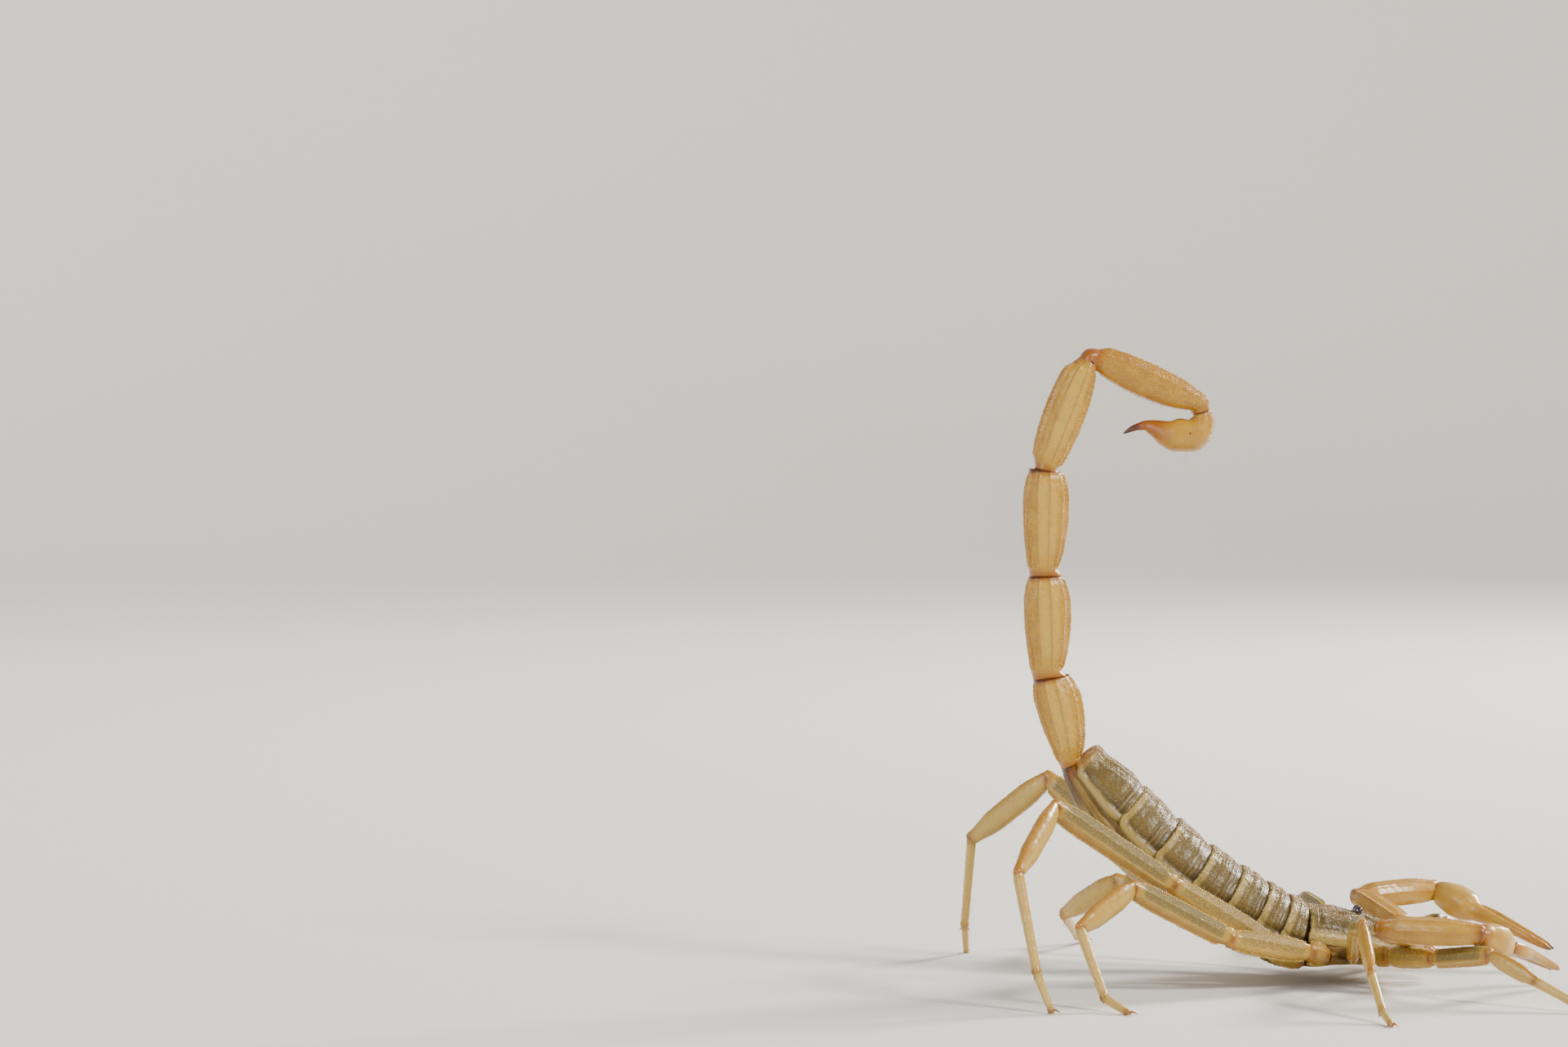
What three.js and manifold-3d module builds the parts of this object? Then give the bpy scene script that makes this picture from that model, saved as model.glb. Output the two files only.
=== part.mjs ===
// A life-size, still model of a pale thick-tailed desert scorpion, head down and tail raised over the back.
// Millimetres. +X is the way the animal faces, +Y its left side, +Z up, and the floor is at Z = 0.
// Every hard plate is a solid of its own, and neighbours stand a joint's width apart.
import * as THREE from "three";
import { mergeVertices } from "three/addons/utils/BufferGeometryUtils.js";
import Module from "manifold-3d";

// ---- Driving dimensions ----

const JOINT_GAP = 0.16; // between two plates that meet at a joint
const DEGREE = Math.PI / 180;
const SIDES = { right: -1, left: 1 };

// Cross-sections of the abdomen where its seven back plates meet, from the tail end to the waist:
// centre x and z, downward pitch in degrees, height above and below the centre, half width.
const TRUNK = [
  { x: -8.75, z: 20.2, pitch: 47, top: 2.05, bottom: 2.35, half: 2.7 },
  { x: -5.1, z: 15.55, pitch: 45, top: 3.25, bottom: 3.75, half: 4.5 },
  { x: -2.0, z: 12.3, pitch: 42, top: 3.5, bottom: 3.8, half: 5.15 },
  { x: 1.2, z: 9.55, pitch: 37, top: 3.6, bottom: 3.65, half: 5.4 },
  { x: 4.3, z: 7.55, pitch: 32, top: 3.55, bottom: 3.35, half: 5.4 },
  { x: 7.0, z: 6.05, pitch: 29, top: 3.4, bottom: 2.95, half: 5.25 },
  { x: 9.25, z: 4.95, pitch: 25, top: 3.2, bottom: 2.45, half: 5.0 },
  { x: 11.4, z: 4.15, pitch: 17, top: 2.95, bottom: 2.1, half: 4.75 },
];
const PLATE_EDGE = 0.85; // how far below the centre a back plate's side edge lies
const BELLY_TAPER = 1.0; // how much narrower the belly is at the waist, where the hind legs pass it
const PLATE_STEP = 0.22; // how far a plate's hind edge stands over the next plate's front edge

// The head shield: stations along its own axis, which points down by `pitch`.
const SHIELD = { x: 11.75, z: 4.1, pitch: 9, length: 9.8, rear: 5.0, front: 3.15 };
const CHEST = { low: 2.0, split: 0.15 };
// Where each leg's coxa starts beside the sternum, how far it swells, and how far short of its leg it stops.
const COXAE = {
  1: { x: 19.0, y: 0.9, swell: 0.8, short: 0.35 },
  2: { x: 17.6, y: 0.9, swell: 0.88, short: 0.35 },
  3: { x: 15.9, y: 1.1, swell: 0.95, short: 0.35 },
  4: { x: 14.4, y: 1.3, swell: 0.95, short: 0.9 },
};
const EYE = { radius: 0.42, along: 4.6, apart: 0.62, rise: 3.12 };

// Tail segments: length, angle above the horizontal, half width, and how far each reaches from its own
// axis on the back and underneath, near its root, half way and near its end.
const TAIL_ROOT = { x: -9.64, z: 19.79 };
const TAIL = [
  { length: 8.26, rise: 103.2, width: 2.45, back: [1.2, 2.27, 2.25], under: [1.1, 1.65, 1.88] },
  { length: 9.33, rise: 92.6, width: 2.4, back: [1.15, 2.05, 2.0], under: [1.72, 2.03, 1.97] },
  { length: 9.67, rise: 89.9, width: 2.35, back: [1.1, 2.0, 1.98], under: [1.6, 1.98, 1.95] },
  { length: 11.21, rise: 68.6, width: 2.15, back: [1.1, 1.48, 0.92], under: [1.74, 2.18, 1.82] },
  { length: 10.7, rise: -23.1, width: 2.0, back: [1.1, 1.68, 1.24], under: [1.42, 1.6, 1.25] },
];

// Legs. Lengths in the order trochanter with femur, patella, tibia, basitarsus, telotarsus.
const LEG_LENGTHS = {
  1: [8.0, 7.0, 5.2, 4.2, 2.5],
  2: [8.7, 7.9, 5.9, 4.8, 2.8],
  3: [10.3, 10.4, 8.5, 7.0, 3.4],
  4: [12.7, 13.2, 10.5, 8.8, 3.9],
};
const HIPS = {
  1: { x: 18.0, y: 4.5, z: 2.75 },
  2: { x: 15.7, y: 5.1, z: 2.85 },
  3: { x: 13.1, y: 5.3, z: 2.9 },
  4: { x: 9.4, y: 5.9, z: 3.05 },
};
// Half height and half width of each length, at its thickest.
const LEG_GIRTHS = {
  1: [0.86, 0.8, 0.74, 0.46, 0.36],
  2: [0.92, 0.86, 0.84, 0.48, 0.37],
  3: [1.02, 0.96, 1.04, 0.52, 0.39],
  4: [1.12, 1.02, 1.12, 0.54, 0.4],
};
const LEG_FLATNESS = [0.62, 0.64, 0.66, 0.85, 0.9]; // half width over half height
// The pair of claws at a leg's end, as one level pad whose underside is flattened on the floor at Z = 0.
const CLAWS = { length: 1.0, height: 0.28, width: 0.25, axis: 0.17 };

// Directions of the five lengths of each leg: degrees outwards from straight ahead, then degrees of rise.
// The basitarsus has no rise of its own: it is worked out so that the foot stands on the floor.
const LEG_POSES = {
  right_1: { out: [60, 52, 44, 40, 38], rise: [4, 8, -22, null, -13] },
  right_2: { out: [96, 93, 88, 84, 82], rise: [24, 6, -38, null, -16] },
  right_3: { out: [154, 165, 130, 62, 56], rise: [11, 27.5, -20, null, -16] },
  right_4: { out: [163.5, 167, 114, 52, 58], rise: [31, 33.2, -28.5, null, -55] },
  left_1: { out: [57, 47, 50, 46, 44], rise: [3, 4, -20, null, -13] },
  left_2: { out: [92, 98, 108, 112, 112], rise: [13, 3, -26, null, -15] },
  left_3: { out: [146, 155, 128, 74, 70], rise: [7, 19.5, -27, null, -14] },
  left_4: { out: [170, 160, 145, 104, 84], rise: [30.5, 38.5, -36, null, -48] },
};

// Pedipalps: trochanter, femur, patella, hand. Degrees outwards from straight ahead, and of rise.
const PALP_ROOT = { x: 20.7, y: 3.85, z: 2.9 };
const PALP_LENGTHS = [2.6, 8.0, 8.6, 5.4];
const FINGER_LENGTH = 8.4;
const PALP_POSES = {
  right: { out: [64, 122, 20, -50], rise: [36, 12, -1, -18] },
  left: { out: [60, 114, 26, -42], rise: [36, 14, 2, -20] },
};

const COLOURS = {
  tail: 0xc79a55,
  back: 0x6b5c38,
  belly: 0x9a8a5c,
  shield: 0x5f5233,
  limb: 0xc9a968,
  palp: 0xb98f4e,
  sting: 0x4a1c10,
  eye: 0x0b0908,
};

// ---- Lofting ----

const vector = (x, y, z) => new THREE.Vector3(x, y, z);
const UP = vector(0, 0, 1);

// A unit direction from degrees outwards (towards `side`) and degrees of rise.
function heading(out, rise, side) {
  const flat = Math.cos(rise * DEGREE);
  return vector(
    flat * Math.cos(out * DEGREE),
    side * flat * Math.sin(out * DEGREE),
    Math.sin(rise * DEGREE),
  );
}

// The corners of one cross-section. `power` squares its upper half and `lowPower` its lower half.
function ringPoints(ring, sides) {
  const { at, along, up, half, top, bottom = top, power = 2.3, lowPower = power, groove = 0 } = ring;
  const lift = up.clone().addScaledVector(along, -up.dot(along)).normalize();
  const across = lift.clone().cross(along);
  return Array.from({ length: sides }, (_, k) => {
    const turn = (2 * Math.PI * k) / sides;
    const [s, c] = [Math.sin(turn), Math.cos(turn)];
    const bend = 2 / (c >= -1e-9 ? power : lowPower);
    const height = Math.sign(c) * Math.abs(c) ** bend * (c > 0 ? top : bottom);
    return at
      .clone()
      .addScaledVector(across, Math.sign(s) * Math.abs(s) ** bend * half)
      .addScaledVector(lift, height * (k === 0 ? 1 - groove : 1));
  });
}

// A closed solid through a row of cross-sections.
function loft(rings, sides) {
  const spans = rings.length - 1;
  const geometry = new THREE.CylinderGeometry(1, 1, 1, sides, spans);
  const points = rings.map((ring) => ringPoints(ring, sides));
  const middles = points.map((row) =>
    row.reduce((sum, p) => sum.add(p), vector(0, 0, 0)).divideScalar(sides),
  );
  const place = geometry.getAttribute("position");
  for (let i = 0; i < place.count; i++) {
    const [x, z] = [place.getX(i), place.getZ(i)];
    const row = Math.round((0.5 - place.getY(i)) * spans);
    const corner = (Math.round((Math.atan2(x, z) / (2 * Math.PI)) * sides) + sides) % sides;
    const p = Math.hypot(x, z) < 0.5 ? middles[row] : points[row][corner];
    place.setXYZ(i, p.x, p.y, p.z);
  }
  geometry.computeVertexNormals();
  return geometry;
}

// Cross-sections along a chain of joints. Each length has rows of [share along it, half width, top, bottom];
// at a joint the section lies in the plane that halves the bend, so that neighbours meet face to face.
function chain(joints, rows, { before, after, up = UP, power, groove } = {}) {
  const ways = joints.slice(1).map((p, i) => p.clone().sub(joints[i]).normalize());
  const rings = [];
  ways.forEach((way, i) => {
    const enter = (i ? ways[i - 1] : (before ?? way)).clone().add(way).normalize();
    const leave = (ways[i + 1] ?? after ?? way).clone().add(way).normalize();
    for (const [share, half, top, bottom] of rows[i]) {
      const first = share === 0;
      const last = share === 1;
      if (first && i > 0) continue;
      const at = joints[i].clone().lerp(joints[i + 1], share);
      const along = first ? enter : last ? leave : way;
      if (first) at.addScaledVector(enter, JOINT_GAP / 2);
      if (last && i === ways.length - 1) at.addScaledVector(leave, -JOINT_GAP / 2);
      rings.push({ at, along, up, half, top, bottom, power, groove });
    }
  });
  return rings;
}

const animal = new THREE.Group();

function add(name, geometry, colour, roughness = 0.5) {
  const material = new THREE.MeshStandardMaterial({ color: colour, roughness, metalness: 0 });
  const mesh = new THREE.Mesh(geometry, material);
  mesh.name = name;
  animal.add(mesh);
  return mesh;
}

// ---- Abdomen: seven back plates over one belly ----

function trunkFrame(station) {
  const pitch = station.pitch * DEGREE;
  return {
    at: vector(station.x, 0, station.z),
    along: vector(Math.cos(pitch), 0, -Math.sin(pitch)),
    up: vector(Math.sin(pitch), 0, Math.cos(pitch)),
  };
}

// A cross-section between stations `rear` and `front` of the trunk, `share` of the way forwards.
function trunkRing(rear, front, share, grow, shift = 0) {
  const mix = (key) => rear[key] + (front[key] - rear[key]) * share;
  const frame = trunkFrame({ x: mix("x"), z: mix("z"), pitch: mix("pitch") });
  frame.at.addScaledVector(frame.along, shift);
  return { ...frame, half: mix("half") + grow, top: mix("top") + grow, bottom: mix("bottom") + grow };
}

function backPlate(number) {
  const rear = TRUNK[7 - number];
  const front = TRUNK[8 - number];
  const rings = [
    trunkRing(rear, front, 0, 0, JOINT_GAP / 2),
    trunkRing(rear, front, 0.3, 0.06),
    trunkRing(rear, front, 0.7, -PLATE_STEP / 2),
    trunkRing(rear, front, 1, -PLATE_STEP, -JOINT_GAP / 2),
  ].map((ring) => ({
    ...ring,
    at: ring.at.addScaledVector(ring.up, -PLATE_EDGE),
    top: ring.top + PLATE_EDGE,
    bottom: 0,
    power: 2.5,
    lowPower: 2,
  }));
  add(`tergite_${number}`, loft(rings, 14), COLOURS.back, 0.45);
}

function belly() {
  const edge = PLATE_EDGE + JOINT_GAP;
  const rings = [];
  for (let i = 0; i < TRUNK.length - 1; i++) {
    for (const share of i ? [0.5, 1] : [0, 0.5, 1]) {
      const ring = trunkRing(TRUNK[i], TRUNK[i + 1], share, -0.25);
      if (i === TRUNK.length - 2) ring.half -= BELLY_TAPER * share;
      ring.at.addScaledVector(ring.up, -edge);
      rings.push({ ...ring, top: 0, bottom: ring.bottom - edge, power: 2, lowPower: 3.2 });
    }
  }
  add("belly", loft(rings, 12), COLOURS.belly, 0.6);
}

// ---- Head shield, chest and eyes ----

function shieldFrame(share) {
  const pitch = SHIELD.pitch * DEGREE;
  const along = vector(Math.cos(pitch), 0, -Math.sin(pitch));
  return {
    at: vector(SHIELD.x, 0, SHIELD.z).addScaledVector(along, share * SHIELD.length),
    along,
    up: vector(Math.sin(pitch), 0, Math.cos(pitch)),
  };
}

function headShield() {
  const shape = [
    [0, 0, 2.75],
    [0.12, 0.06, 2.9],
    [0.32, 0, 2.92],
    [0.42, 0, 3.0],
    [0.5, 0, 2.98],
    [0.62, 0, 2.62],
    [0.82, 0, 2.2],
    [0.95, -0.08, 1.9],
    [1, -0.3, 1.45],
  ];
  const rings = shape.map(([share, grow, top]) => ({
    ...shieldFrame(share),
    half: SHIELD.rear + (SHIELD.front - SHIELD.rear) * share ** 1.15 + grow,
    top,
    bottom: 0,
    power: 2.7,
    lowPower: 2,
    groove: share > 0.6 ? 0.05 : 0,
  }));
  add("carapace", loft(rings, 16), COLOURS.shield, 0.5);
}

const wasm = await Module();
wasm.setup();

function solidOf(geometry) {
  const bare = geometry.clone().deleteAttribute("normal").deleteAttribute("uv");
  const merged = mergeVertices(bare, 1e-4);
  const vertProperties = merged.getAttribute("position").array;
  const triVerts = new Uint32Array(merged.index.array);
  return new wasm.Manifold(new wasm.Mesh({ numProp: 3, vertProperties, triVerts }));
}

function geometryOf(solid) {
  const { vertProperties, triVerts } = solid.getMesh();
  const geometry = new THREE.BufferGeometry();
  geometry.setAttribute("position", new THREE.BufferAttribute(vertProperties, 3));
  geometry.setIndex(new THREE.BufferAttribute(triVerts, 1));
  geometry.computeVertexNormals();
  return geometry;
}

// One coxa: a rib under the chest that runs from the sternum out to its leg.
function coxa(number, side) {
  const { x, y, swell, short } = COXAE[number];
  const hip = legRoot(number, side);
  const inner = vector(x, side * y, CHEST.low + 0.45);
  const way = hip.clone().sub(inner).normalize();
  const outer = hip.clone().addScaledVector(way, -short);
  const rows = [[0, 0.5, 0.15, 0.6], [0.35, swell, 0.25, 0.85], [0.8, swell, 0.45, 0.8], [1, 0.6, 0.4, 0.6]];
  return loft(chain([inner, outer], [rows]), 8);
}

// The underside of the head: a smooth plate with the sternum in its middle and eight coxae growing from it.
function chest() {
  const halves = [3.9, 4.8, 4.6, 4.0, 3.4, 2.3];
  const rings = halves.map((half, i) => {
    const frame = shieldFrame(i / (halves.length - 1));
    const depth = frame.at.z - CHEST.split - CHEST.low;
    frame.at.addScaledVector(frame.up, -CHEST.split);
    return { ...frame, half, top: 0, bottom: depth * (i === 5 ? 0.6 : 1), power: 2, lowPower: 3 };
  });
  let solid = solidOf(loft(rings, 12));
  for (const side of Object.values(SIDES)) {
    for (const number of Object.keys(COXAE)) solid = solid.add(solidOf(coxa(number, side)));
  }
  add("chest", geometryOf(solid), COLOURS.limb, 0.55);
}

function medianEye(side, name) {
  const frame = shieldFrame(EYE.along / SHIELD.length);
  const profile = [
    [0, 0],
    [1, 0],
    [1, 0.25],
    [0.78, 0.68],
    [0.4, 0.93],
    [0, 1],
  ].map(([x, y]) => new THREE.Vector2(x * EYE.radius, y * EYE.radius));
  const geometry = new THREE.LatheGeometry(profile, 10);
  const outward = frame.up.clone().addScaledVector(vector(0, side, 0), 0.7).normalize();
  geometry.applyQuaternion(new THREE.Quaternion().setFromUnitVectors(vector(0, 1, 0), outward));
  const at = frame.at.addScaledVector(frame.up, EYE.rise).add(vector(0, side * EYE.apart, 0));
  geometry.translate(at.x, at.y, at.z);
  add(`eye_${name}`, geometry, COLOURS.eye, 0.08);
}

// ---- Tail ----

// A tail segment is waisted at its root and drawn in a little at its rim.
const TAIL_SHARES = [0, 0.1, 0.22, 0.36, 0.52, 0.68, 0.82, 0.93, 1];
const TAIL_WIDTHS = [0.62, 0.72, 0.88, 0.97, 1, 1, 0.97, 0.92, 0.82];

// How far a segment reaches at `share` of its length, from its reach near the root, half way and near the end.
function tailReach([root, middle, end], share) {
  const [a, b, c] = [0.1, 0.5, 0.9];
  const smooth =
    (root * (share - b) * (share - c)) / ((a - b) * (a - c)) +
    (middle * (share - a) * (share - c)) / ((b - a) * (b - c)) +
    (end * (share - a) * (share - b)) / ((c - a) * (c - b));
  return share === 0 ? 0.95 * root : share === 1 ? 0.8 * end : smooth;
}

function tailJoints() {
  const joints = [vector(TAIL_ROOT.x, 0, TAIL_ROOT.z)];
  for (const { length, rise } of TAIL) {
    joints.push(joints.at(-1).clone().addScaledVector(heading(0, rise, 1), length));
  }
  return joints;
}

function tail() {
  const joints = tailJoints();
  const ways = TAIL.map(({ rise }) => heading(0, rise, 1));
  TAIL.forEach(({ width, back, under }, i) => {
    const rows = TAIL_SHARES.map((share, j) => {
      return [share, width * TAIL_WIDTHS[j], tailReach(back, share), tailReach(under, share)];
    });
    // The back of the tail faces the way that the raised tail curls: towards the head, then down.
    const up = ways[i].clone().cross(vector(0, 1, 0)).negate();
    const before = i ? ways[i - 1] : heading(0, 122, 1);
    const after = ways[i + 1] ?? heading(0, -60, 1);
    const rings = chain([joints[i], joints[i + 1]], [rows], { before, after, up, power: 2.6, groove: 0.06 });
    add(`metasoma_${i + 1}`, loft(rings, 16), COLOURS.tail, 0.42);
  });
  sting();
}

// The bulb and the sting: the centre of each section, the angle of its axis below the way ahead, and its
// half height and half width.
const BULB = [
  { x: 2.4, z: 52.6, turn: 75, height: 0.56, width: 0.85 },
  { x: 2.5, z: 51.74, turn: 103, height: 0.93, width: 1.15 },
  { x: 2.1, z: 50.65, turn: 137, height: 1.28, width: 1.42 },
  { x: 1.18, z: 50.15, turn: 165, height: 1.55, width: 1.6 },
  { x: -0.03, z: 50.15, turn: 186, height: 1.52, width: 1.55 },
  { x: -1.0, z: 50.35, turn: 203, height: 1.22, width: 1.28 },
  { x: -2.0, z: 50.82, turn: 206, height: 0.78, width: 0.88 },
  { x: -2.72, z: 51.02, turn: 190, height: 0.48, width: 0.58 },
];
const STING = [
  { x: -2.88, z: 51.03, turn: 188, height: 0.45, width: 0.5 },
  { x: -3.55, z: 50.9, turn: 176, height: 0.34, width: 0.38 },
  { x: -4.16, z: 50.66, turn: 160, height: 0.27, width: 0.28 },
  { x: -4.68, z: 50.38, turn: 152, height: 0.14, width: 0.15 },
];

function sting() {
  const rings = (stations) =>
    stations.map(({ x, z, turn, height, width }) => {
      const along = heading(0, -turn, 1);
      const up = along.clone().cross(vector(0, 1, 0)).negate();
      return { at: vector(x, 0, z), along, up, half: width, top: height, power: 2.1 };
    });
  add("telson_bulb", loft(rings(BULB), 14), COLOURS.tail, 0.35);
  add("telson_sting", loft(rings(STING), 8), COLOURS.sting, 0.3);
}

// ---- Legs ----

function legJoints(number, side, pose) {
  const lengths = LEG_LENGTHS[number];
  const hip = HIPS[number];
  const joints = [vector(hip.x, side * hip.y, hip.z)];
  const ways = lengths.map((length, i) => {
    let rise = pose.rise[i];
    if (rise === null) {
      const drop = lengths[4] * Math.sin(-pose.rise[4] * DEGREE);
      const fall = joints.at(-1).z - drop - CLAWS.axis;
      rise = -Math.asin(Math.min(0.98, fall / length)) / DEGREE;
    }
    const way = heading(pose.out[i], rise, side);
    joints.push(joints.at(-1).clone().addScaledVector(way, length));
    return way;
  });
  return { joints, ways };
}

// Rows for one length of a leg, `sizes` being shares of its girth at both joints and at two places between.
function legRows(number, length, [start, early, late, end], [first, second] = [0.25, 0.72]) {
  const girth = LEG_GIRTHS[number][length];
  const flat = LEG_FLATNESS[length];
  const row = (share, size) => [share, girth * size * flat, girth * size, girth * size];
  return [row(0, start), row(first, early), row(second, late), row(1, end)];
}

// Where a leg leaves its coxa: the hindmost leg's hip lies behind the chest, and its root runs forwards to it.
function legRoot(number, side) {
  const { x, y, z } = HIPS[number];
  const hind = Number(number) === 4;
  const inward = hind ? heading(40, -18, -side) : heading(90, -12, -side);
  return vector(x, side * y, z).addScaledVector(inward, hind ? 1.9 : 0.3);
}

function leg(number, sideName) {
  const side = SIDES[sideName];
  const { joints, ways } = legJoints(number, side, LEG_POSES[`${sideName}_${number}`]);
  const name = `leg_${sideName}_${number}`;
  const root = legRoot(number, side);
  const knuckle = joints[0].clone().addScaledVector(ways[0], 1.6);
  const thigh = chain(
    [root, knuckle, joints[1]],
    [
      legRows(number, 0, [0.72, 0.9, 0.86, 0.72], [0.4, 0.8]),
      legRows(number, 0, [0.72, 1, 0.92, 0.68], [0.3, 0.78]),
    ],
    { after: ways[1] },
  );
  add(`${name}_femur`, loft(thigh, 8), COLOURS.limb);
  const middle = [legRows(number, 1, [0.66, 0.98, 1, 0.74], [0.14, 0.8])];
  const shank = chain([joints[1], joints[2]], middle, { before: ways[0], after: ways[2] });
  add(`${name}_patella`, loft(shank, 8), COLOURS.limb);
  const clawTip = joints[5].clone().add(vector(ways[4].x, ways[4].y, 0).setLength(CLAWS.length));
  const foot = chain(
    [joints[2], joints[3], joints[4], joints[5], clawTip],
    [
      legRows(number, 2, [0.66, 1, 0.96, 0.56], [0.32, 0.7]),
      legRows(number, 3, [1, 0.94, 0.86, 0.84], [0.2, 0.7]),
      legRows(number, 4, [1, 0.92, 0.8, 0.72], [0.3, 0.75]),
      [0.5, 1].map((share) => [share, CLAWS.width, CLAWS.height, CLAWS.height]),
    ],
    { before: ways[1] },
  );
  const geometry = loft(foot, 8);
  const place = geometry.getAttribute("position");
  for (let i = 0; i < place.count; i++) place.setZ(i, Math.max(place.getZ(i), 0));
  add(`${name}_tarsus`, geometry, COLOURS.limb);
}

// ---- Pedipalps: arms with slender pincers ----

function palp(sideName) {
  const side = SIDES[sideName];
  const { out, rise } = PALP_POSES[sideName];
  const ways = out.map((angle, i) => heading(angle, rise[i], side));
  const joints = [vector(PALP_ROOT.x, side * PALP_ROOT.y, PALP_ROOT.z)];
  PALP_LENGTHS.forEach((length, i) => {
    joints.push(joints.at(-1).clone().addScaledVector(ways[i], length));
  });
  const name = `pedipalp_${sideName}`;
  const arm = (i, rows, label) => {
    const ends = { before: ways[i - 1], after: ways[i + 1], power: 2.6 };
    const rings = chain([joints[i], joints[i + 1]], [rows], ends);
    add(`${name}_${label}`, loft(rings, 10), COLOURS.palp);
  };
  arm(0, [[0, 0.75, 0.8, 0.8], [0.5, 1.0, 1.05, 1.05], [1, 0.85, 0.85, 0.85]], "trochanter");
  arm(1, [[0, 0.8, 0.75, 0.8], [0.15, 1.05, 0.95, 0.95], [0.75, 1.15, 1.0, 1.0], [1, 0.8, 0.75, 0.75]], "femur");
  arm(2, [[0, 0.75, 0.7, 0.75], [0.2, 1.2, 1.15, 1.1], [0.6, 1.35, 1.2, 1.2], [1, 0.85, 0.8, 0.8]], "patella");
  pincer(name, joints[3], joints[4], ways[2], ways[3], side);
}

// The hand runs on into its fixed finger, on the inner side; the outer finger stands a little open beside it.
function pincer(name, wrist, knuckle, before, way, side) {
  const inner = way.clone().cross(UP).normalize().multiplyScalar(side);
  const lift = inner.clone().cross(way).normalize().multiplyScalar(side);
  const fingertip = knuckle.clone().addScaledVector(way, FINGER_LENGTH);
  // A point of a finger: its share of the length, how far inwards it lies, and how high it bows.
  const fingerPoint = (share, spread, bow) =>
    knuckle
      .clone()
      .lerp(fingertip, share)
      .addScaledVector(inner, spread)
      .addScaledVector(lift, bow * Math.sin(Math.PI * share));
  const hand = chain(
    [
      wrist,
      wrist.clone().lerp(knuckle, 0.5),
      fingerPoint(0, 0.4, 0),
      fingerPoint(0.35, 0.85, 0.3),
      fingerPoint(0.7, 0.8, 0.3),
      fingerPoint(1, 0.08, 0),
    ],
    [
      [[0, 0.7, 0.7, 0.7], [0.3, 1.15, 1.15, 1.15], [1, 1.55, 1.5, 1.5]],
      [[0.5, 1.42, 1.4, 1.4], [1, 0.7, 0.85, 0.85]],
      [[1, 0.44, 0.55, 0.55]],
      [[1, 0.35, 0.42, 0.42]],
      [[1, 0.25, 0.27, 0.27]],
    ],
    { before, power: 2.2 },
  );
  add(`${name}_hand`, loft(hand, 10), COLOURS.palp);
  const finger = chain(
    [
      fingerPoint(0.005, -0.92, 0),
      fingerPoint(0.35, -0.55, 0.2),
      fingerPoint(0.7, -0.32, 0.2),
      fingerPoint(0.99, -0.6, 0),
    ],
    [
      [[0, 0.42, 0.6, 0.6], [0.3, 0.46, 0.62, 0.62], [1, 0.42, 0.5, 0.5]],
      [[1, 0.34, 0.4, 0.4]],
      [[1, 0.25, 0.27, 0.27]],
    ],
    { power: 2.1 },
  );
  add(`${name}_finger`, loft(finger, 8), COLOURS.palp);
}

// ---- Chelicerae and pectines ----

function chelicera(sideName) {
  const side = SIDES[sideName];
  const frame = shieldFrame(1);
  const from = (ahead, apart, rise) =>
    frame.at
      .clone()
      .addScaledVector(frame.along, ahead)
      .addScaledVector(frame.up, rise)
      .add(vector(0, side * apart, 0));
  const base = chain(
    [from(0.1, 1.05, 0.62), from(1.7, 1.08, 0.52), from(2.6, 1.4, 0.3), from(3.3, 1.2, 0.02)],
    [
      [[0, 0.72, 0.6, 0.6], [0.4, 0.92, 0.85, 0.85], [1, 0.85, 0.8, 0.8]],
      [[1, 0.4, 0.5, 0.5]],
      [[1, 0.25, 0.27, 0.27]],
    ],
    { power: 2.2 },
  );
  add(`chelicera_${sideName}`, loft(base, 10), COLOURS.palp);
  const finger = chain(
    [from(2.35, 0.62, 0.25), from(2.85, 0.58, 0.15), from(3.4, 0.72, -0.1)],
    [
      [[0, 0.26, 0.42, 0.42], [1, 0.28, 0.38, 0.38]],
      [[1, 0.22, 0.25, 0.25]],
    ],
  );
  add(`chelicera_finger_${sideName}`, loft(finger, 8), COLOURS.palp);
}

// The comb under the belly, as one curved strip with its teeth closed up.
function pecten(sideName) {
  const side = SIDES[sideName];
  const joints = [
    vector(11.2, side * 0.75, 1.6),
    vector(10.1, side * 2.6, 1.7),
    vector(8.8, side * 4.3, 2.1),
    vector(7.5, side * 5.3, 2.65),
  ];
  const rows = [
    [[0, 0.6, 0.26, 0.26], [1, 0.75, 0.26, 0.26]],
    [[1, 0.62, 0.26, 0.26]],
    [[1, 0.3, 0.25, 0.25]],
  ];
  add(`pecten_${sideName}`, loft(chain(joints, rows, { power: 2.4 }), 8), COLOURS.belly);
}

// ---- Assembly ----

for (let number = 1; number <= 7; number++) backPlate(number);
belly();
headShield();
chest();
tail();
for (const sideName of Object.keys(SIDES)) {
  medianEye(SIDES[sideName], sideName);
  chelicera(sideName);
  palp(sideName);
  pecten(sideName);
  for (let number = 1; number <= 4; number++) leg(number, sideName);
}

// The part's own origin is the middle of its bounding box, on the floor.
const box = new THREE.Box3().setFromObject(animal, true);
const middle = box.getCenter(vector(0, 0, 0));
animal.position.set(-middle.x, -middle.y, -box.min.z);

export default animal;
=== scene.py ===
"""Looks of a life-size desert scorpion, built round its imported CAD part.

Sizes are millimetres in the animal's own frame: +X is the way it faces, +Y its left, +Z up, and the floor
is at Z = 0. Meshes are turned into metres of the part's frame when they are made.
"""

import logging
import math
from dataclasses import dataclass, field
from enum import Enum
from typing import Callable, Sequence

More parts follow.
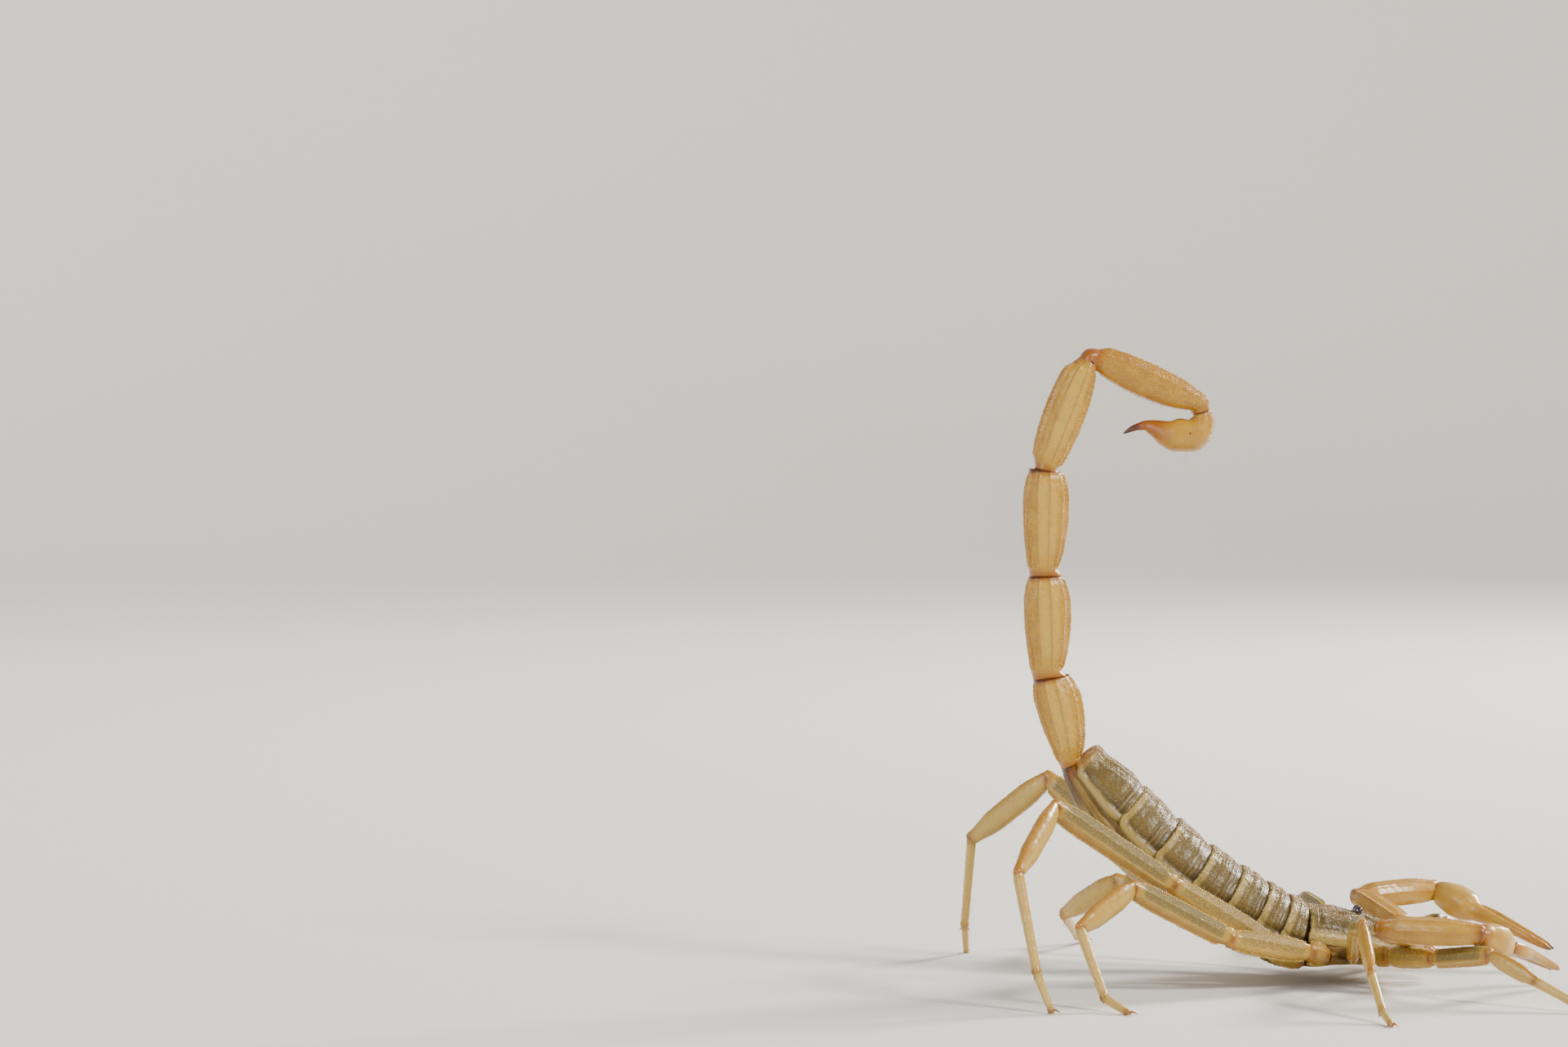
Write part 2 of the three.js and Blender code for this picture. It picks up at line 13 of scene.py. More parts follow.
import bpy
import numpy as np
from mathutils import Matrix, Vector


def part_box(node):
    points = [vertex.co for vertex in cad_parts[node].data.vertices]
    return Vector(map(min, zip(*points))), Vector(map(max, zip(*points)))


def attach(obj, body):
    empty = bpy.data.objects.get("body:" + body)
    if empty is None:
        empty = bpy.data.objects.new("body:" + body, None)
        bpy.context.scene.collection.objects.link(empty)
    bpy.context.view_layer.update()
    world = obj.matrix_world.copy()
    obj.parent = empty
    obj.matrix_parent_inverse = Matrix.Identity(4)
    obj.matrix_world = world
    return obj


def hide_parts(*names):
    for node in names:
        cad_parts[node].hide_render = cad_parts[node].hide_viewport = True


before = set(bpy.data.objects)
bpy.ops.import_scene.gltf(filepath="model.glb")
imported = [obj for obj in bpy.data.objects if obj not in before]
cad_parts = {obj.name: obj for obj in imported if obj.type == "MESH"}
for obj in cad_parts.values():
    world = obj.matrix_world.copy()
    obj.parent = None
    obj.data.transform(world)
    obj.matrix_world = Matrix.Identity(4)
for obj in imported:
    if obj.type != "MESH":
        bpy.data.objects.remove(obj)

LOG = logging.getLogger("scorpion")
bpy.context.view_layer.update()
Array = np.ndarray
Colour = tuple[float, float, float]
Field = Callable[["Grid"], Array]
Rows = Sequence[tuple[float, ...]]
Socket = bpy.types.NodeSocket
Sockets = bpy.types.bpy_prop_collection
MM = 0.001
UP = np.array([0.0, 0.0, 1.0])
LEFTWARD = np.array([0.0, 1.0, 0.0])
CARAPACE_REAR = 11.75  # the carapace's hind edge on the animal's X axis, which places the two frames
UNWRAP = "OFBake"
MARKS = ("joint", "dark", "pale", "dust", "grain", "hair")


def frame_shift() -> Array:
    """Find where the animal's own origin lies in the part's frame.

    Returns:
        The shift in metres.
    """
    low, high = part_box("carapace")
    return np.array([low.x - CARAPACE_REAR * MM, (low.y + high.y) / 2, 0.0])


SHIFT = frame_shift()


class Side(Enum):
    """The animal's right and left, with the sign of Y on each."""

    RIGHT = -1
    LEFT = 1

    @property
    def label(self) -> str:
        """The side's name as the part's nodes spell it."""
        return self.name.lower()


class Cap(Enum):
    """How a tube closes at an end."""

    DOME = "dome"
    CUP = "cup"
    FLAT = "flat"


class Slot(Enum):
    """Material slots, one stored on each skin."""

    BACK = "back_plates"
    UNDERSIDE = "underside"
    TAIL = "tail"
    STING = "sting"
    LEGS = "legs"
    PINCERS = "pincers"
    EYES = "eyes"


# ---- Small mathematics ----


def to_row(points: Array) -> Array:
    """Turn animal millimetres into metres of the part's frame."""
    return points * MM + SHIFT


def unit(vectors: Array) -> Array:
    """Scale vectors to length one."""
    return vectors / np.maximum(np.linalg.norm(vectors, axis=-1, keepdims=True), 1e-12)


def heading(out: float, rise: float, side: int = 1) -> Array:
    """Make a unit direction.

    Args:
        out: Degrees away from straight ahead, towards the side.
        rise: Degrees above the horizontal.
        side: The sign of Y.

    Returns:
        The direction.
    """
    o, r = math.radians(out), math.radians(rise)
    return np.array([math.cos(r) * math.cos(o), side * math.cos(r) * math.sin(o), math.sin(r)])


def tilted(pitch: float) -> tuple[Array, Array]:
    """The way ahead and the way up of a body whose front dips by some degrees."""
    c, s = math.cos(math.radians(pitch)), math.sin(math.radians(pitch))
    return np.array([c, 0, -s]), np.array([s, 0, c])


def bump(value: Array, centre: float, width: float) -> Array:
    """A smooth hump of height one at the centre."""
    return np.exp(-(((value - centre) / width) ** 2))


def ramp(value: Array, low: float, high: float) -> Array:
    """A smooth step from nought at low to one at high."""
    t = np.clip((value - low) / (high - low), 0.0, 1.0)
    return t * t * (3 - 2 * t)


def fade(value: Array, low: float, high: float) -> Array:
    """A smooth step from one at low to nought at high."""
    return 1 - ramp(value, low, high)


def ripple(points: Array, size: float, seed: int) -> Array:
    """Smooth irregular waves through space.

    Args:
        points: Places in millimetres.
        size: Rough distance between crests.
        seed: Picks the pattern.

    Returns:
        Values of about -1 to 1.
    """
    draw = np.random.default_rng(seed)
    waves = unit(draw.normal(size=(7, 3))) * draw.uniform(0.7, 1.5, (7, 1)) * 2 * math.pi / size
    phase = draw.uniform(0, 2 * math.pi, 7)
    return np.sin(points @ waves.T + phase).sum(-1) / 3.2


def smooth(knots: Array, values: Array, where: Array) -> Array:
    """Interpolate rows of numbers by monotone cubics.

    Args:
        knots: Rising places of the rows.
        values: One row for each knot.
        where: Places wanted.

    Returns:
        One row for each place wanted.
    """
    step = np.diff(knots)[:, None]
    slope = np.diff(values, axis=0) / step
    tangent = np.zeros_like(values)
    tangent[0], tangent[-1] = slope[0], slope[-1]
    before, after = slope[:-1], slope[1:]
    w1, w2 = 2 * step[1:] + step[:-1], step[1:] + 2 * step[:-1]
    same = before * after > 0
    safe_before, safe_after = np.where(same, before, 1.0), np.where(same, after, 1.0)
    tangent[1:-1] = np.where(same, (w1 + w2) / (w1 / safe_before + w2 / safe_after), 0.0)
    i = np.clip(np.searchsorted(knots, where, side="right") - 1, 0, len(knots) - 2)
    h = step[i]
    t = ((where - knots[i]) / h[:, 0])[:, None]
    return (
        (2 * t**3 - 3 * t**2 + 1) * values[i]
        + (t**3 - 2 * t**2 + t) * h * tangent[i]
        + (3 * t**2 - 2 * t**3) * values[i + 1]
        + (t**3 - t**2) * h * tangent[i + 1]
    )


# ---- Cross-sections and tubes ----


def ring(
    at: Array,
    along: Array,
    up: Array,
    half: float,
    top: float,
    bottom: float | None = None,
    power: float = 2.3,
    low: float | None = None,
) -> Array:
    """Describe one cross-section as a row of fourteen numbers.

    Args:
        at: Its centre.
        along: The way its tube runs.
        up: The way its top faces.
        half: Half its width.
        top: Its height above the centre.
        bottom: Its depth below the centre, the same as its top if left out.
        power: How square the upper half is; 2 is round.
        low: How square the lower half is.

    Returns:
        The row.
    """
    bottom = top if bottom is None else bottom
    low = power if low is None else low
    return np.array([*at, *along, *up, half, top, bottom, power, low], float)


def chain(
    joints: list[Array],
    rows: list[Rows],
    before: Array | None = None,
    after: Array | None = None,
    up: Array = UP,
    power: float = 2.3,
) -> Array:
    """Lay cross-sections along straight lengths that meet at joints.

    Args:
        joints: The ends of the lengths.
        rows: For each length, (share along it, half width, top, and bottom where it differs).
        before: The way the neighbour before the first joint runs.
        after: The way the neighbour after the last joint runs.
        up: The way the tops face.
        power: How square the sections are.

    Returns:
        The rings, those at a joint lying in the plane that halves its bend.
    """
    ways = [unit(b - a) for a, b in zip(joints, joints[1:])]
    rings = []
    for i, way in enumerate(ways):
        previous = ways[i - 1] if i else (way if before is None else before)
        following = ways[i + 1] if i + 1 < len(ways) else (way if after is None else after)
        enter, leave = unit(previous + way), unit(following + way)
        for share, half, *reach in rows[i]:
            if share == 0 and i:
                continue
            along = enter if share == 0 else leave if share == 1 else way
            at = joints[i] + (joints[i + 1] - joints[i]) * share
            rings.append(ring(at, along, up, half, reach[0], reach[-1], power))
    return np.array(rings)


def sections(rings: Array, turns: Array) -> Array:
    """Turn rings into points.

    Args:
        rings: Rows made by ring().
        turns: Angles round a section, from its top.

    Returns:
        Points, one row for each ring.
    """
    along = unit(rings[:, 3:6])
    lift = unit(rings[:, 6:9] - along * (rings[:, 6:9] * along).sum(1, keepdims=True))
    across = np.cross(lift, along)
    s, c = np.sin(turns), np.cos(turns)
    upper = c[None] >= -1e-9
    bend = 2 / np.where(upper, rings[:, 12:13], rings[:, 13:14])
    height = np.sign(c) * np.abs(c)[None] ** bend * np.where(upper, rings[:, 10:11], rings[:, 11:12])
    width = np.sign(s) * np.abs(s)[None] ** bend * rings[:, 9:10]
    return rings[:, None, :3] + across[:, None] * width[..., None] + lift[:, None] * height[..., None]


@dataclass
class Keel:
    """A raised line on a tube, and the row of granules on it."""

    path: tuple[tuple[float, float], ...]  # (share along the tube, degrees round it from the top)
    height: float = 0.07
    width: float = 0.13
    bead: float = 0.06
    mirror: bool = True

    def branches(self) -> list[Array]:
        """The keel's path, and its mirror image where it has one."""
        line = np.array(self.path, float)
        return [line, line * (1, -1)] if self.mirror else [line]


@dataclass
class Grid:
    """The closed skin of one tube: rows along it, columns round it, poles as its first and last rows."""

    points: Array
    share: Array  # along the tube, one column
    turn: Array  # degrees from the top, -180 to 180, one row
    inside: Array  # 1 on rows inside a cupped end, one column
    start: Array  # mm from the tube's start, one column
    end: Array  # mm from its end, one column
    first: int  # the row where the tube's own length starts
    rows: int  # how many rows its own length has
    marks: dict[str, Array] = field(default_factory=dict)
    lines: list[tuple[Array, float]] = field(default_factory=list)

    @property
    def away(self) -> Array:
        """Degrees from the top, the same on both sides."""
        return np.abs(self.turn)

    @property
    def radius(self) -> float:
        """Mean radius of the tube's middle, in millimetres."""
        middle = self.points[self.first : self.first + self.rows]
        return float(np.linalg.norm(np.diff(middle, axis=1), axis=2).sum(1).mean() / (2 * math.pi))

    @property
    def length(self) -> float:
        """Length of the tube in millimetres."""
        return float(self.start[self.first + self.rows - 1, 0])

    def normals(self) -> Array:
        """Work out outward directions at all points.

        Returns:
            Unit directions, rings by around by 3.
        """
        round_ = np.roll(self.points, -1, 1) - np.roll(self.points, 1, 1)
        forth = np.gradient(self.points, axis=0)
        out = unit(np.cross(forth, round_))
        for row, beside in ((0, 1), (-1, -2)):
            out[row] = unit(out[beside].mean(0))
        return out

    def push(self, amount: Array) -> None:
        """Move the skin outwards, by millimetres, except at its poles.

        Args:
            amount: How far each point moves.
        """
        amount = np.broadcast_to(amount, self.points.shape[:2]).copy()
        amount[[0, -1]] = 0
        self.points = self.points + self.normals() * amount[..., None]

    def distance(self, line: Array) -> Array:
        """Measure along the skin to a path.

        Args:
            line: Corners as (share, degrees).

        Returns:
            Millimetres from every point.
        """
        scale = np.array([self.length, self.radius * math.pi / 180])
        here = np.stack(np.broadcast_arrays(self.start, self.turn * scale[1]), -1)
        best = np.full(here.shape[:2], 1e9)
        for a, b in zip(line * scale, line[1:] * scale):
            run = b - a
            t = np.clip(((here - a) @ run) / max(run @ run, 1e-12), 0, 1)[..., None]
            best = np.minimum(best, np.linalg.norm(here - a - t * run, axis=-1))
        return best

    def raise_keels(self, keels: tuple[Keel, ...]) -> None:
        """Press keels out of the skin and note where their granules stand.

        Args:
            keels: The keels.
        """
        amount = np.zeros(self.points.shape[:2])
        for keel in keels:
            for line in keel.branches():
                ridge = keel.height * np.exp(-((self.distance(line) / keel.width) ** 2))
                amount = np.where(np.abs(ridge) > np.abs(amount), ridge, amount)
                if keel.bead:
                    self.lines.append((line, keel.bead))
        self.push(amount)


def close(edge: Array, centre: Array, outward: Array, kind: Cap, depth: float) -> tuple[Array, Array, Array]:
    """Close a tube's end.

    Args:
        edge: The tube's last row of points.
        centre: The middle of that row.
        outward: The way out of the tube.
        kind: The shape.
        depth: Millimetres of swell or hollow.

    Returns:
        Rows of points from the edge to the pole, their distance from the edge, and 1 where they lie inside.
    """
    if kind is Cap.DOME:
        steps = [(math.cos(a), math.sin(a)) for a in np.radians([22, 42, 60, 76])] + [(0, 1)]
        inside = [0] * 5
    elif kind is Cap.CUP:
        steps = [(0.97, 0.06), (0.92, 0.06), (0.86, -0.1), (0.82, -0.7), (0.5, -1.0), (0, -1.0)]
        inside = [0, 0.3, 1, 1, 1, 1]
    else:
        steps = [(0.96, 0.0), (0.5, 0.0), (0, 0)]
        inside = [0] * 3
    rows = np.array([centre + (edge - centre) * s + outward * depth * d for s, d in steps])
    return rows, np.array([d for _, d in steps]) * depth, np.array(inside, float)


@dataclass
class Tube:
    """A closed skin through a row of cross-sections."""

    rings: Array
    around: int = 32
    step: float = 0.2
    start: Cap = Cap.DOME
    end: Cap = Cap.DOME
    start_depth: float = 0.3
    end_depth: float = 0.3
    keels: tuple[Keel, ...] = ()
    relief: Field | None = None
    marks: dict[str, Field | float] = field(default_factory=dict)

    def grid(self) -> Grid:
        """Build the skin.

        Returns:
            The grid, with its relief, keels and marks.
        """
        gaps = np.linalg.norm(np.diff(self.rings[:, :3], axis=0), axis=1)
        knots = np.concatenate([[0], np.cumsum(np.maximum(gaps, 1e-4))])
        count = max(6, math.ceil(knots[-1] / self.step) + 1)
        where = np.linspace(0, knots[-1], count)
        dense = smooth(knots, self.rings, where)
        turns = 2 * math.pi * np.arange(self.around) / self.around
        body = sections(dense, turns)
        along = unit(dense[:, 3:6])
        head, head_far, head_in = close(body[0], dense[0, :3], -along[0], self.start, self.start_depth)
        tail, tail_far, tail_in = close(body[-1], dense[-1, :3], along[-1], self.end, self.end_depth)
        points = np.concatenate([head[::-1], body, tail])
        mm = np.concatenate([-head_far[::-1], where, knots[-1] + tail_far])[:, None]
        degrees = np.degrees((turns + math.pi) % (2 * math.pi) - math.pi)[None]
        made = Grid(
            points,
            np.clip(mm / knots[-1], 0, 1),
            degrees,
            np.concatenate([head_in[::-1], np.zeros(count), tail_in])[:, None],
            mm,
            knots[-1] - mm,
            len(head),
            count,
        )
        if self.relief:
            made.push(self.relief(made))
        made.raise_keels(self.keels)
        shape = made.points.shape[:2]
        for name in MARKS:
            mark = self.marks.get(name, 0.0)
            value = mark(made) if callable(mark) else mark
            made.marks[name] = np.broadcast_to(value, shape).astype(float)
        return made


# ---- Finishes ----


def srgb(red: int, green: int, blue: int) -> Colour:
    """Turn a screen colour of 0 to 255 into linear light.

    Args:
        red: Red, 0 to 255.
        green: Green, 0 to 255.
        blue: Blue, 0 to 255.

    Returns:
        The colour, each channel 0 to 1.
    """
    return tuple(
        v / 12.92 if v <= 0.04045 else ((v + 0.055) / 1.055) ** 2.4
        for v in (red / 255, green / 255, blue / 255)
    )


class Nodes:
    """A short way to add and join nodes in a tree."""

    def __init__(self, tree: bpy.types.NodeTree) -> None:
        """Take the tree to build in."""
        self.tree = tree

    @staticmethod
    def socket(sockets: Sockets, key: str | int) -> Socket:
        """Find a socket that is in use, by name, or by its place.

        Args:
            sockets: A node's inputs or outputs.
            key: The socket's name or place.

        Returns:
            The socket.
        """
        if isinstance(key, int):
            return sockets[key]
        return next(s for s in sockets if s.name == key and s.enabled)

    def add(self, kind: str, options: dict | None = None, inputs: dict | None = None) -> bpy.types.Node:
        """Add a node.

        Args:
            kind: Its type.
            options: Its properties.
            inputs: Values or output sockets for its inputs.

        Returns:
            The node.
        """
        node = self.tree.nodes.new(kind)
        for name, value in (options or {}).items():
            setattr(node, name, value)
        self.feed(node, inputs or {})
        return node

    def feed(self, node: bpy.types.Node, inputs: dict) -> None:
        """Set a node's inputs, or link them where the value is an output socket.

        Args:
            node: The node.
            inputs: Values or output sockets by name or place.
        """
        for key, value in inputs.items():
            target = self.socket(node.inputs, key)
            if isinstance(value, Socket):
                self.tree.links.new(value, target)
            else:
                target.default_value = (*value, 1.0) if target.type == "RGBA" else value

    def out(self, node: bpy.types.Node, key: str | int = 0) -> Socket:
        """One of a node's outputs."""
        return self.socket(node.outputs, key)

    def math(self, operation: str, a: object, b: object = 0.0, clamp: bool = False) -> Socket:
        """Do arithmetic on two values.

        Args:
            operation: What to do.
            a: The first value or socket.
            b: The second.
            clamp: Keep the result within 0 and 1.

        Returns:
            The result.
        """
        options = {"operation": operation, "use_clamp": clamp}
        return self.add("ShaderNodeMath", options, {0: a, 1: b}).outputs[0]

    def times(self, a: object, b: object, clamp: bool = False) -> Socket:
        """Multiply two values."""
        return self.math("MULTIPLY", a, b, clamp)

    def plus(self, a: object, b: object, clamp: bool = False) -> Socket:
        """Add two values."""
        return self.math("ADD", a, b, clamp)

    def mix(self, factor: object, a: object, b: object, blend: str = "MIX") -> Socket:
        """Mix two colours.

        Args:
            factor: The share of the second.
            a: The first colour.
            b: The second colour.
            blend: How they mix.

        Returns:
            The mixed colour.
        """
        options = {"data_type": "RGBA", "blend_type": blend}
        node = self.add("ShaderNodeMix", options, {"Factor": factor, "A": a, "B": b})
        return self.out(node, "Result")

    def mark(self, name: str) -> Socket:
        """Read one of the skin's own marks."""
        return self.add("ShaderNodeAttribute", {"attribute_name": name}).outputs["Fac"]

    def vectors(self, operation: str, a: object, b: object = (0.0, 0.0, 0.0)) -> Socket:
        """Do arithmetic on two vectors, or on the first alone."""
        return self.add("ShaderNodeVectorMath", {"operation": operation}, {0: a, 1: b}).outputs[0]

    def noise(self, vector: object, scale: object, detail: float = 3.0, rough: float = 0.55) -> Socket:
        """Make a noise value.

        Args:
            vector: Where to read it.
            scale: Its frequency.
            detail: Octaves.
            rough: How strong the fine octaves are.

        Returns:
            The value.
        """
        inputs = {"Vector": vector, "Scale": scale, "Detail": detail, "Roughness": rough}
        return self.add("ShaderNodeTexNoise", {}, inputs).outputs[0]

    def spread(self, value: object, low: float, high: float) -> Socket:
        """Stretch a value so that low becomes 0 and high becomes 1."""
        options, inputs = {"interpolation_type": "SMOOTHSTEP"}, {0: value, 1: low, 2: high}
        return self.add("ShaderNodeMapRange", options, inputs).outputs[0]


def new_tree(name: str, kind: str, inputs: dict[str, str], outputs: dict[str, str]) -> bpy.types.NodeTree:
    """Make an empty node group.

    Args:
        name: Its name.
        kind: The type of tree.
        inputs: The socket type of each named input.
        outputs: The socket type of each named output.

    Returns:
        The tree.
    """
    tree = bpy.data.node_groups.new(name, kind)
    for way, sockets in (("INPUT", inputs), ("OUTPUT", outputs)):
        for label, socket_type in sockets.items():
            tree.interface.new_socket(name=label, in_out=way, socket_type=socket_type)
    return tree


class CuticleGroup:
    """The shader group that every hard surface shares: blotches, margins, joints, dark marks (stains, and on
    some skins painted shade in hollows, seams and grooves), dust and pits.
    """

    COLOURS = ("Tone", "Shade", "Pale", "Joint", "Dark", "Dust")
    VALUES = ("Blotch Scale", "Contrast", "Speckle", "Roughness", "Streaks")
    # Waves to the metre, but for the streaks, whose waves are counted across and along the unwrap.
    PITS = 9500.0
    GRIT = 7000.0
    STREAKS = (150.0, 7.0, 1.0)
    tree: bpy.types.NodeTree | None = None

    @classmethod
    def get(cls) -> bpy.types.NodeTree:
        """Build the group on first use.

        Returns:
            The group's tree.
        """
        if cls.tree is not None:
            return cls.tree
        inputs = {c: "NodeSocketColor" for c in cls.COLOURS} | {v: "NodeSocketFloat" for v in cls.VALUES}
        outputs = {"Color": "NodeSocketColor", "Roughness": "NodeSocketFloat", "Height": "NodeSocketFloat"}
        cls.tree = new_tree("Cuticle", "ShaderNodeTree", inputs, outputs)
        n = Nodes(cls.tree)
        given = n.add("NodeGroupInput").outputs
        here = n.add("ShaderNodeTexCoord").outputs["Object"]
        unwrap = n.add("ShaderNodeUVMap", {"uv_map": UNWRAP}).outputs[0]
        blotch = n.noise(here, given["Blotch Scale"], 4.0)
        fine = n.noise(here, n.times(given["Blotch Scale"], 11.0), 3.0, 0.65)
        streak = n.noise(n.vectors("MULTIPLY", unwrap, cls.STREAKS), 1.0, 2.0)
        pits = n.add("ShaderNodeTexVoronoi", {"feature": "SMOOTH_F1"}, {"Vector": here, "Scale": cls.PITS})
        patchy = n.times(n.spread(blotch, 0.38, 0.66), given["Contrast"], True)
        colour = n.mix(patchy, given["Tone"], given["Shade"])
        streaky = n.times(n.spread(streak, 0.5, 0.72), given["Streaks"], True)
        colour = n.mix(streaky, colour, given["Shade"])
        paler = n.times(n.mark("pale"), n.plus(n.times(fine, 0.5), 0.72), True)
        colour = n.mix(paler, colour, given["Pale"])
        jointed = n.times(n.mark("joint"), n.plus(n.times(blotch, 0.6), 0.68), True)
        colour = n.mix(jointed, colour, given["Joint"])
        # The dark mark is partly the cuticle's own dark colour and partly painted shade in cupped ends, seams
        # and grooves.
        colour = n.mix(n.mark("dark"), colour, given["Dark"])
        grit = n.plus(n.noise(here, cls.GRIT, 2.0, 0.7), n.times(n.mark("dust"), 0.34))
        dusty = n.times(n.spread(grit, 0.6, 0.8), n.mark("dust"), True)
        colour = n.mix(dusty, colour, given["Dust"])
        centred = n.math("SUBTRACT", fine, 0.5)
        shade = n.plus(n.times(centred, given["Speckle"]), 1.0)
        grey = n.add("ShaderNodeCombineColor", {}, {0: shade, 1: shade, 2: shade})
        colour = n.mix(1.0, colour, grey.outputs[0], "MULTIPLY")
        rough = n.plus(given["Roughness"], n.times(centred, 0.3))
        rough = n.plus(rough, n.times(dusty, 0.35), True)
        height = n.plus(n.times(fine, 0.7), n.times(pits.outputs[0], 0.5))
        height = n.plus(height, n.times(streak, given["Streaks"]))
        height = n.plus(height, n.times(dusty, 0.6))
        n.add("NodeGroupOutput", {}, {"Color": colour, "Roughness": rough, "Height": height})
        return cls.tree


@dataclass(frozen=True)
class Finish:
    """A material that is made once and then found by its name."""

    name: str

    def material(self) -> bpy.types.Material:
        """Make the finish, or find it if it is made.

        Returns:
            The material.
        """
        made = bpy.data.materials.get(self.name)
        if made is None:
            made = bpy.data.materials.new(self.name)
            made.use_nodes = True
            n = Nodes(made.node_tree)
            n.feed(made.node_tree.nodes["Principled BSDF"], self.paint(n))
        return made

    def paint(self, n: Nodes) -> dict:
        """Add the finish's nodes and give the shader's inputs."""
        raise NotImplementedError


@dataclass(frozen=True)
class Cuticle(Finish):
    """The finish of one kind of hard surface."""

    tone: Colour
    shade: Colour
    pale: Colour
    joint: Colour
    dark: Colour = srgb(88, 36, 18)
    dust: Colour = srgb(214, 140, 82)
    blotch: float = 700.0
    contrast: float = 0.55
    speckle: float = 0.5
    roughness: float = 0.4
    streaks: float = 0.25
    coat: float = 0.12
    relief: float = 0.35
    glow: float = 0.12
    ior: float = 1.5

    RELIEF_DEPTH = 0.00003  # metres

    def paint(self, n: Nodes) -> dict:
        """Lay the shared group's colours, roughness and relief on the shader.

        Args:
            n: The material's tree.

        Returns:
            The shader's inputs.
        """
        colours = (self.tone, self.shade, self.pale, self.joint, self.dark, self.dust)
        values = (self.blotch, self.contrast, self.speckle, self.roughness, self.streaks)
        inputs = dict(zip(CuticleGroup.COLOURS + CuticleGroup.VALUES, colours + values))
        group = n.add("ShaderNodeGroup", {"node_tree": CuticleGroup.get()}, inputs).outputs
        relief = {"Strength": self.relief, "Distance": self.RELIEF_DEPTH, "Height": group["Height"]}
        return {
            "Base Color": group["Color"],
            "Roughness": group["Roughness"],
            "Normal": n.add("ShaderNodeBump", {}, relief).outputs[0],
            "IOR": self.ior,
            "Coat Weight": self.coat,
            "Coat Roughness": 0.22,
            "Subsurface Weight": self.glow,
            "Subsurface Radius": (1.0, 0.5, 0.2),
            "Subsurface Scale": 0.0005,
        }


@dataclass(frozen=True)
class EyeLens(Finish):
    """The wet black of an eye, brown where light gets a little way in."""

    name: str = "eye_lens"
    black: Colour = (0.004, 0.0035, 0.003)
    brown: Colour = (0.02, 0.009, 0.004)
    cloud: float = 2600.0

    def paint(self, n: Nodes) -> dict:
        """Cloud the black with brown under a wet coat.

        Args:
            n: The material's tree.

        Returns:
            The shader's inputs.
        """
        here = n.add("ShaderNodeTexCoord").outputs["Object"]
        colour = n.mix(n.spread(n.noise(here, self.cloud), 0.45, 0.7), self.black, self.brown)
        coat = {"Coat Weight": 1.0, "Coat Roughness": 0.03}
        return {"Base Color": colour, "Roughness": 0.06, "IOR": 1.6} | coat


# A finish's dark colour paints its own dark marks and, on the tail, back plates, head shield and underside,
# also painted shade in hollows, seams and grooves.
TAIL_SKIN = Cuticle(
    "tail_cuticle", srgb(182, 139, 32), srgb(154, 108, 20), srgb(188, 154, 60), srgb(142, 80, 8),
    dark=srgb(62, 17, 5), roughness=0.38, streaks=0.3, coat=0.15, glow=0.1,
)
TAIL_GRAIN = Cuticle(
    "tail_granules", srgb(190, 142, 46), srgb(170, 118, 34), srgb(196, 160, 78), srgb(146, 82, 14),
    dark=srgb(64, 26, 8), roughness=0.15, streaks=0.0, coat=0.7, glow=0.08, relief=0.1,
)
STING_SKIN = Cuticle(
    "sting_tip", srgb(88, 30, 8), srgb(58, 16, 5), srgb(170, 100, 26), srgb(142, 76, 10),
    dark=srgb(20, 5, 3), roughness=0.3, streaks=0.3, coat=0.25, glow=0.1, relief=0.12,
)
BACK_SKIN = Cuticle(
    "back_plate_cuticle", srgb(110, 90, 40), srgb(82, 65, 27), srgb(160, 137, 72), srgb(134, 84, 24),
    dark=srgb(52, 39, 26), dust=srgb(148, 100, 44), blotch=520.0, contrast=0.7, roughness=0.42,
    streaks=0.12, coat=0.06, glow=0.03, relief=0.6, ior=1.42,
)
BACK_GRAIN = Cuticle(
    "back_plate_granules", srgb(122, 101, 48), srgb(94, 75, 34), srgb(162, 139, 76), srgb(142, 92, 30),
    dark=srgb(64, 48, 33), dust=srgb(176, 116, 52), roughness=0.16, streaks=0.0, coat=0.5, glow=0.03,
    relief=0.1, ior=1.6,
)
BELLY_SKIN = Cuticle(
    "underside_cuticle", srgb(120, 98, 38), srgb(92, 72, 26), srgb(178, 146, 66), srgb(120, 64, 16),
    dark=srgb(56, 24, 12), blotch=420.0, roughness=0.52, coat=0.04, glow=0.08, ior=1.42,
)
LEG_SKIN = Cuticle(
    "leg_cuticle", srgb(174, 138, 50), srgb(146, 114, 42), srgb(190, 160, 82), srgb(154, 102, 22),
    dark=srgb(72, 30, 10), dust=srgb(104, 90, 40), blotch=600.0, roughness=0.3, streaks=0.35, coat=0.25,
    glow=0.15,
)
LEG_GRAIN = Cuticle(
    "leg_granules", srgb(182, 150, 68), srgb(156, 124, 52), srgb(194, 168, 96), srgb(152, 92, 20),
    dark=srgb(76, 38, 14), dust=srgb(130, 114, 58), roughness=0.14, streaks=0.0, coat=0.55, glow=0.1,
    relief=0.1,
)
PALP_SKIN = Cuticle(
    "pincer_cuticle", srgb(180, 135, 42), srgb(152, 104, 28), srgb(192, 158, 76), srgb(140, 78, 14),
    dark=srgb(66, 22, 9), blotch=640.0, roughness=0.32, streaks=0.3, coat=0.22, glow=0.12,
)
PALP_GRAIN = Cuticle(
    "pincer_granules", srgb(186, 138, 52), srgb(158, 104, 34), srgb(198, 160, 82), srgb(116, 54, 16),
    dark=srgb(56, 18, 9), roughness=0.18, streaks=0.0, coat=0.55, glow=0.08, relief=0.1,
)
JAW_SKIN = Cuticle(
    "jaw_cuticle", srgb(198, 144, 58), srgb(112, 62, 22), srgb(212, 168, 88), srgb(136, 54, 14),
    dark=srgb(48, 14, 8), blotch=1500.0, contrast=0.9, roughness=0.3, coat=0.3, glow=0.1,
)


# ---- Skins: tubes joined in one mesh with one unwrap ----


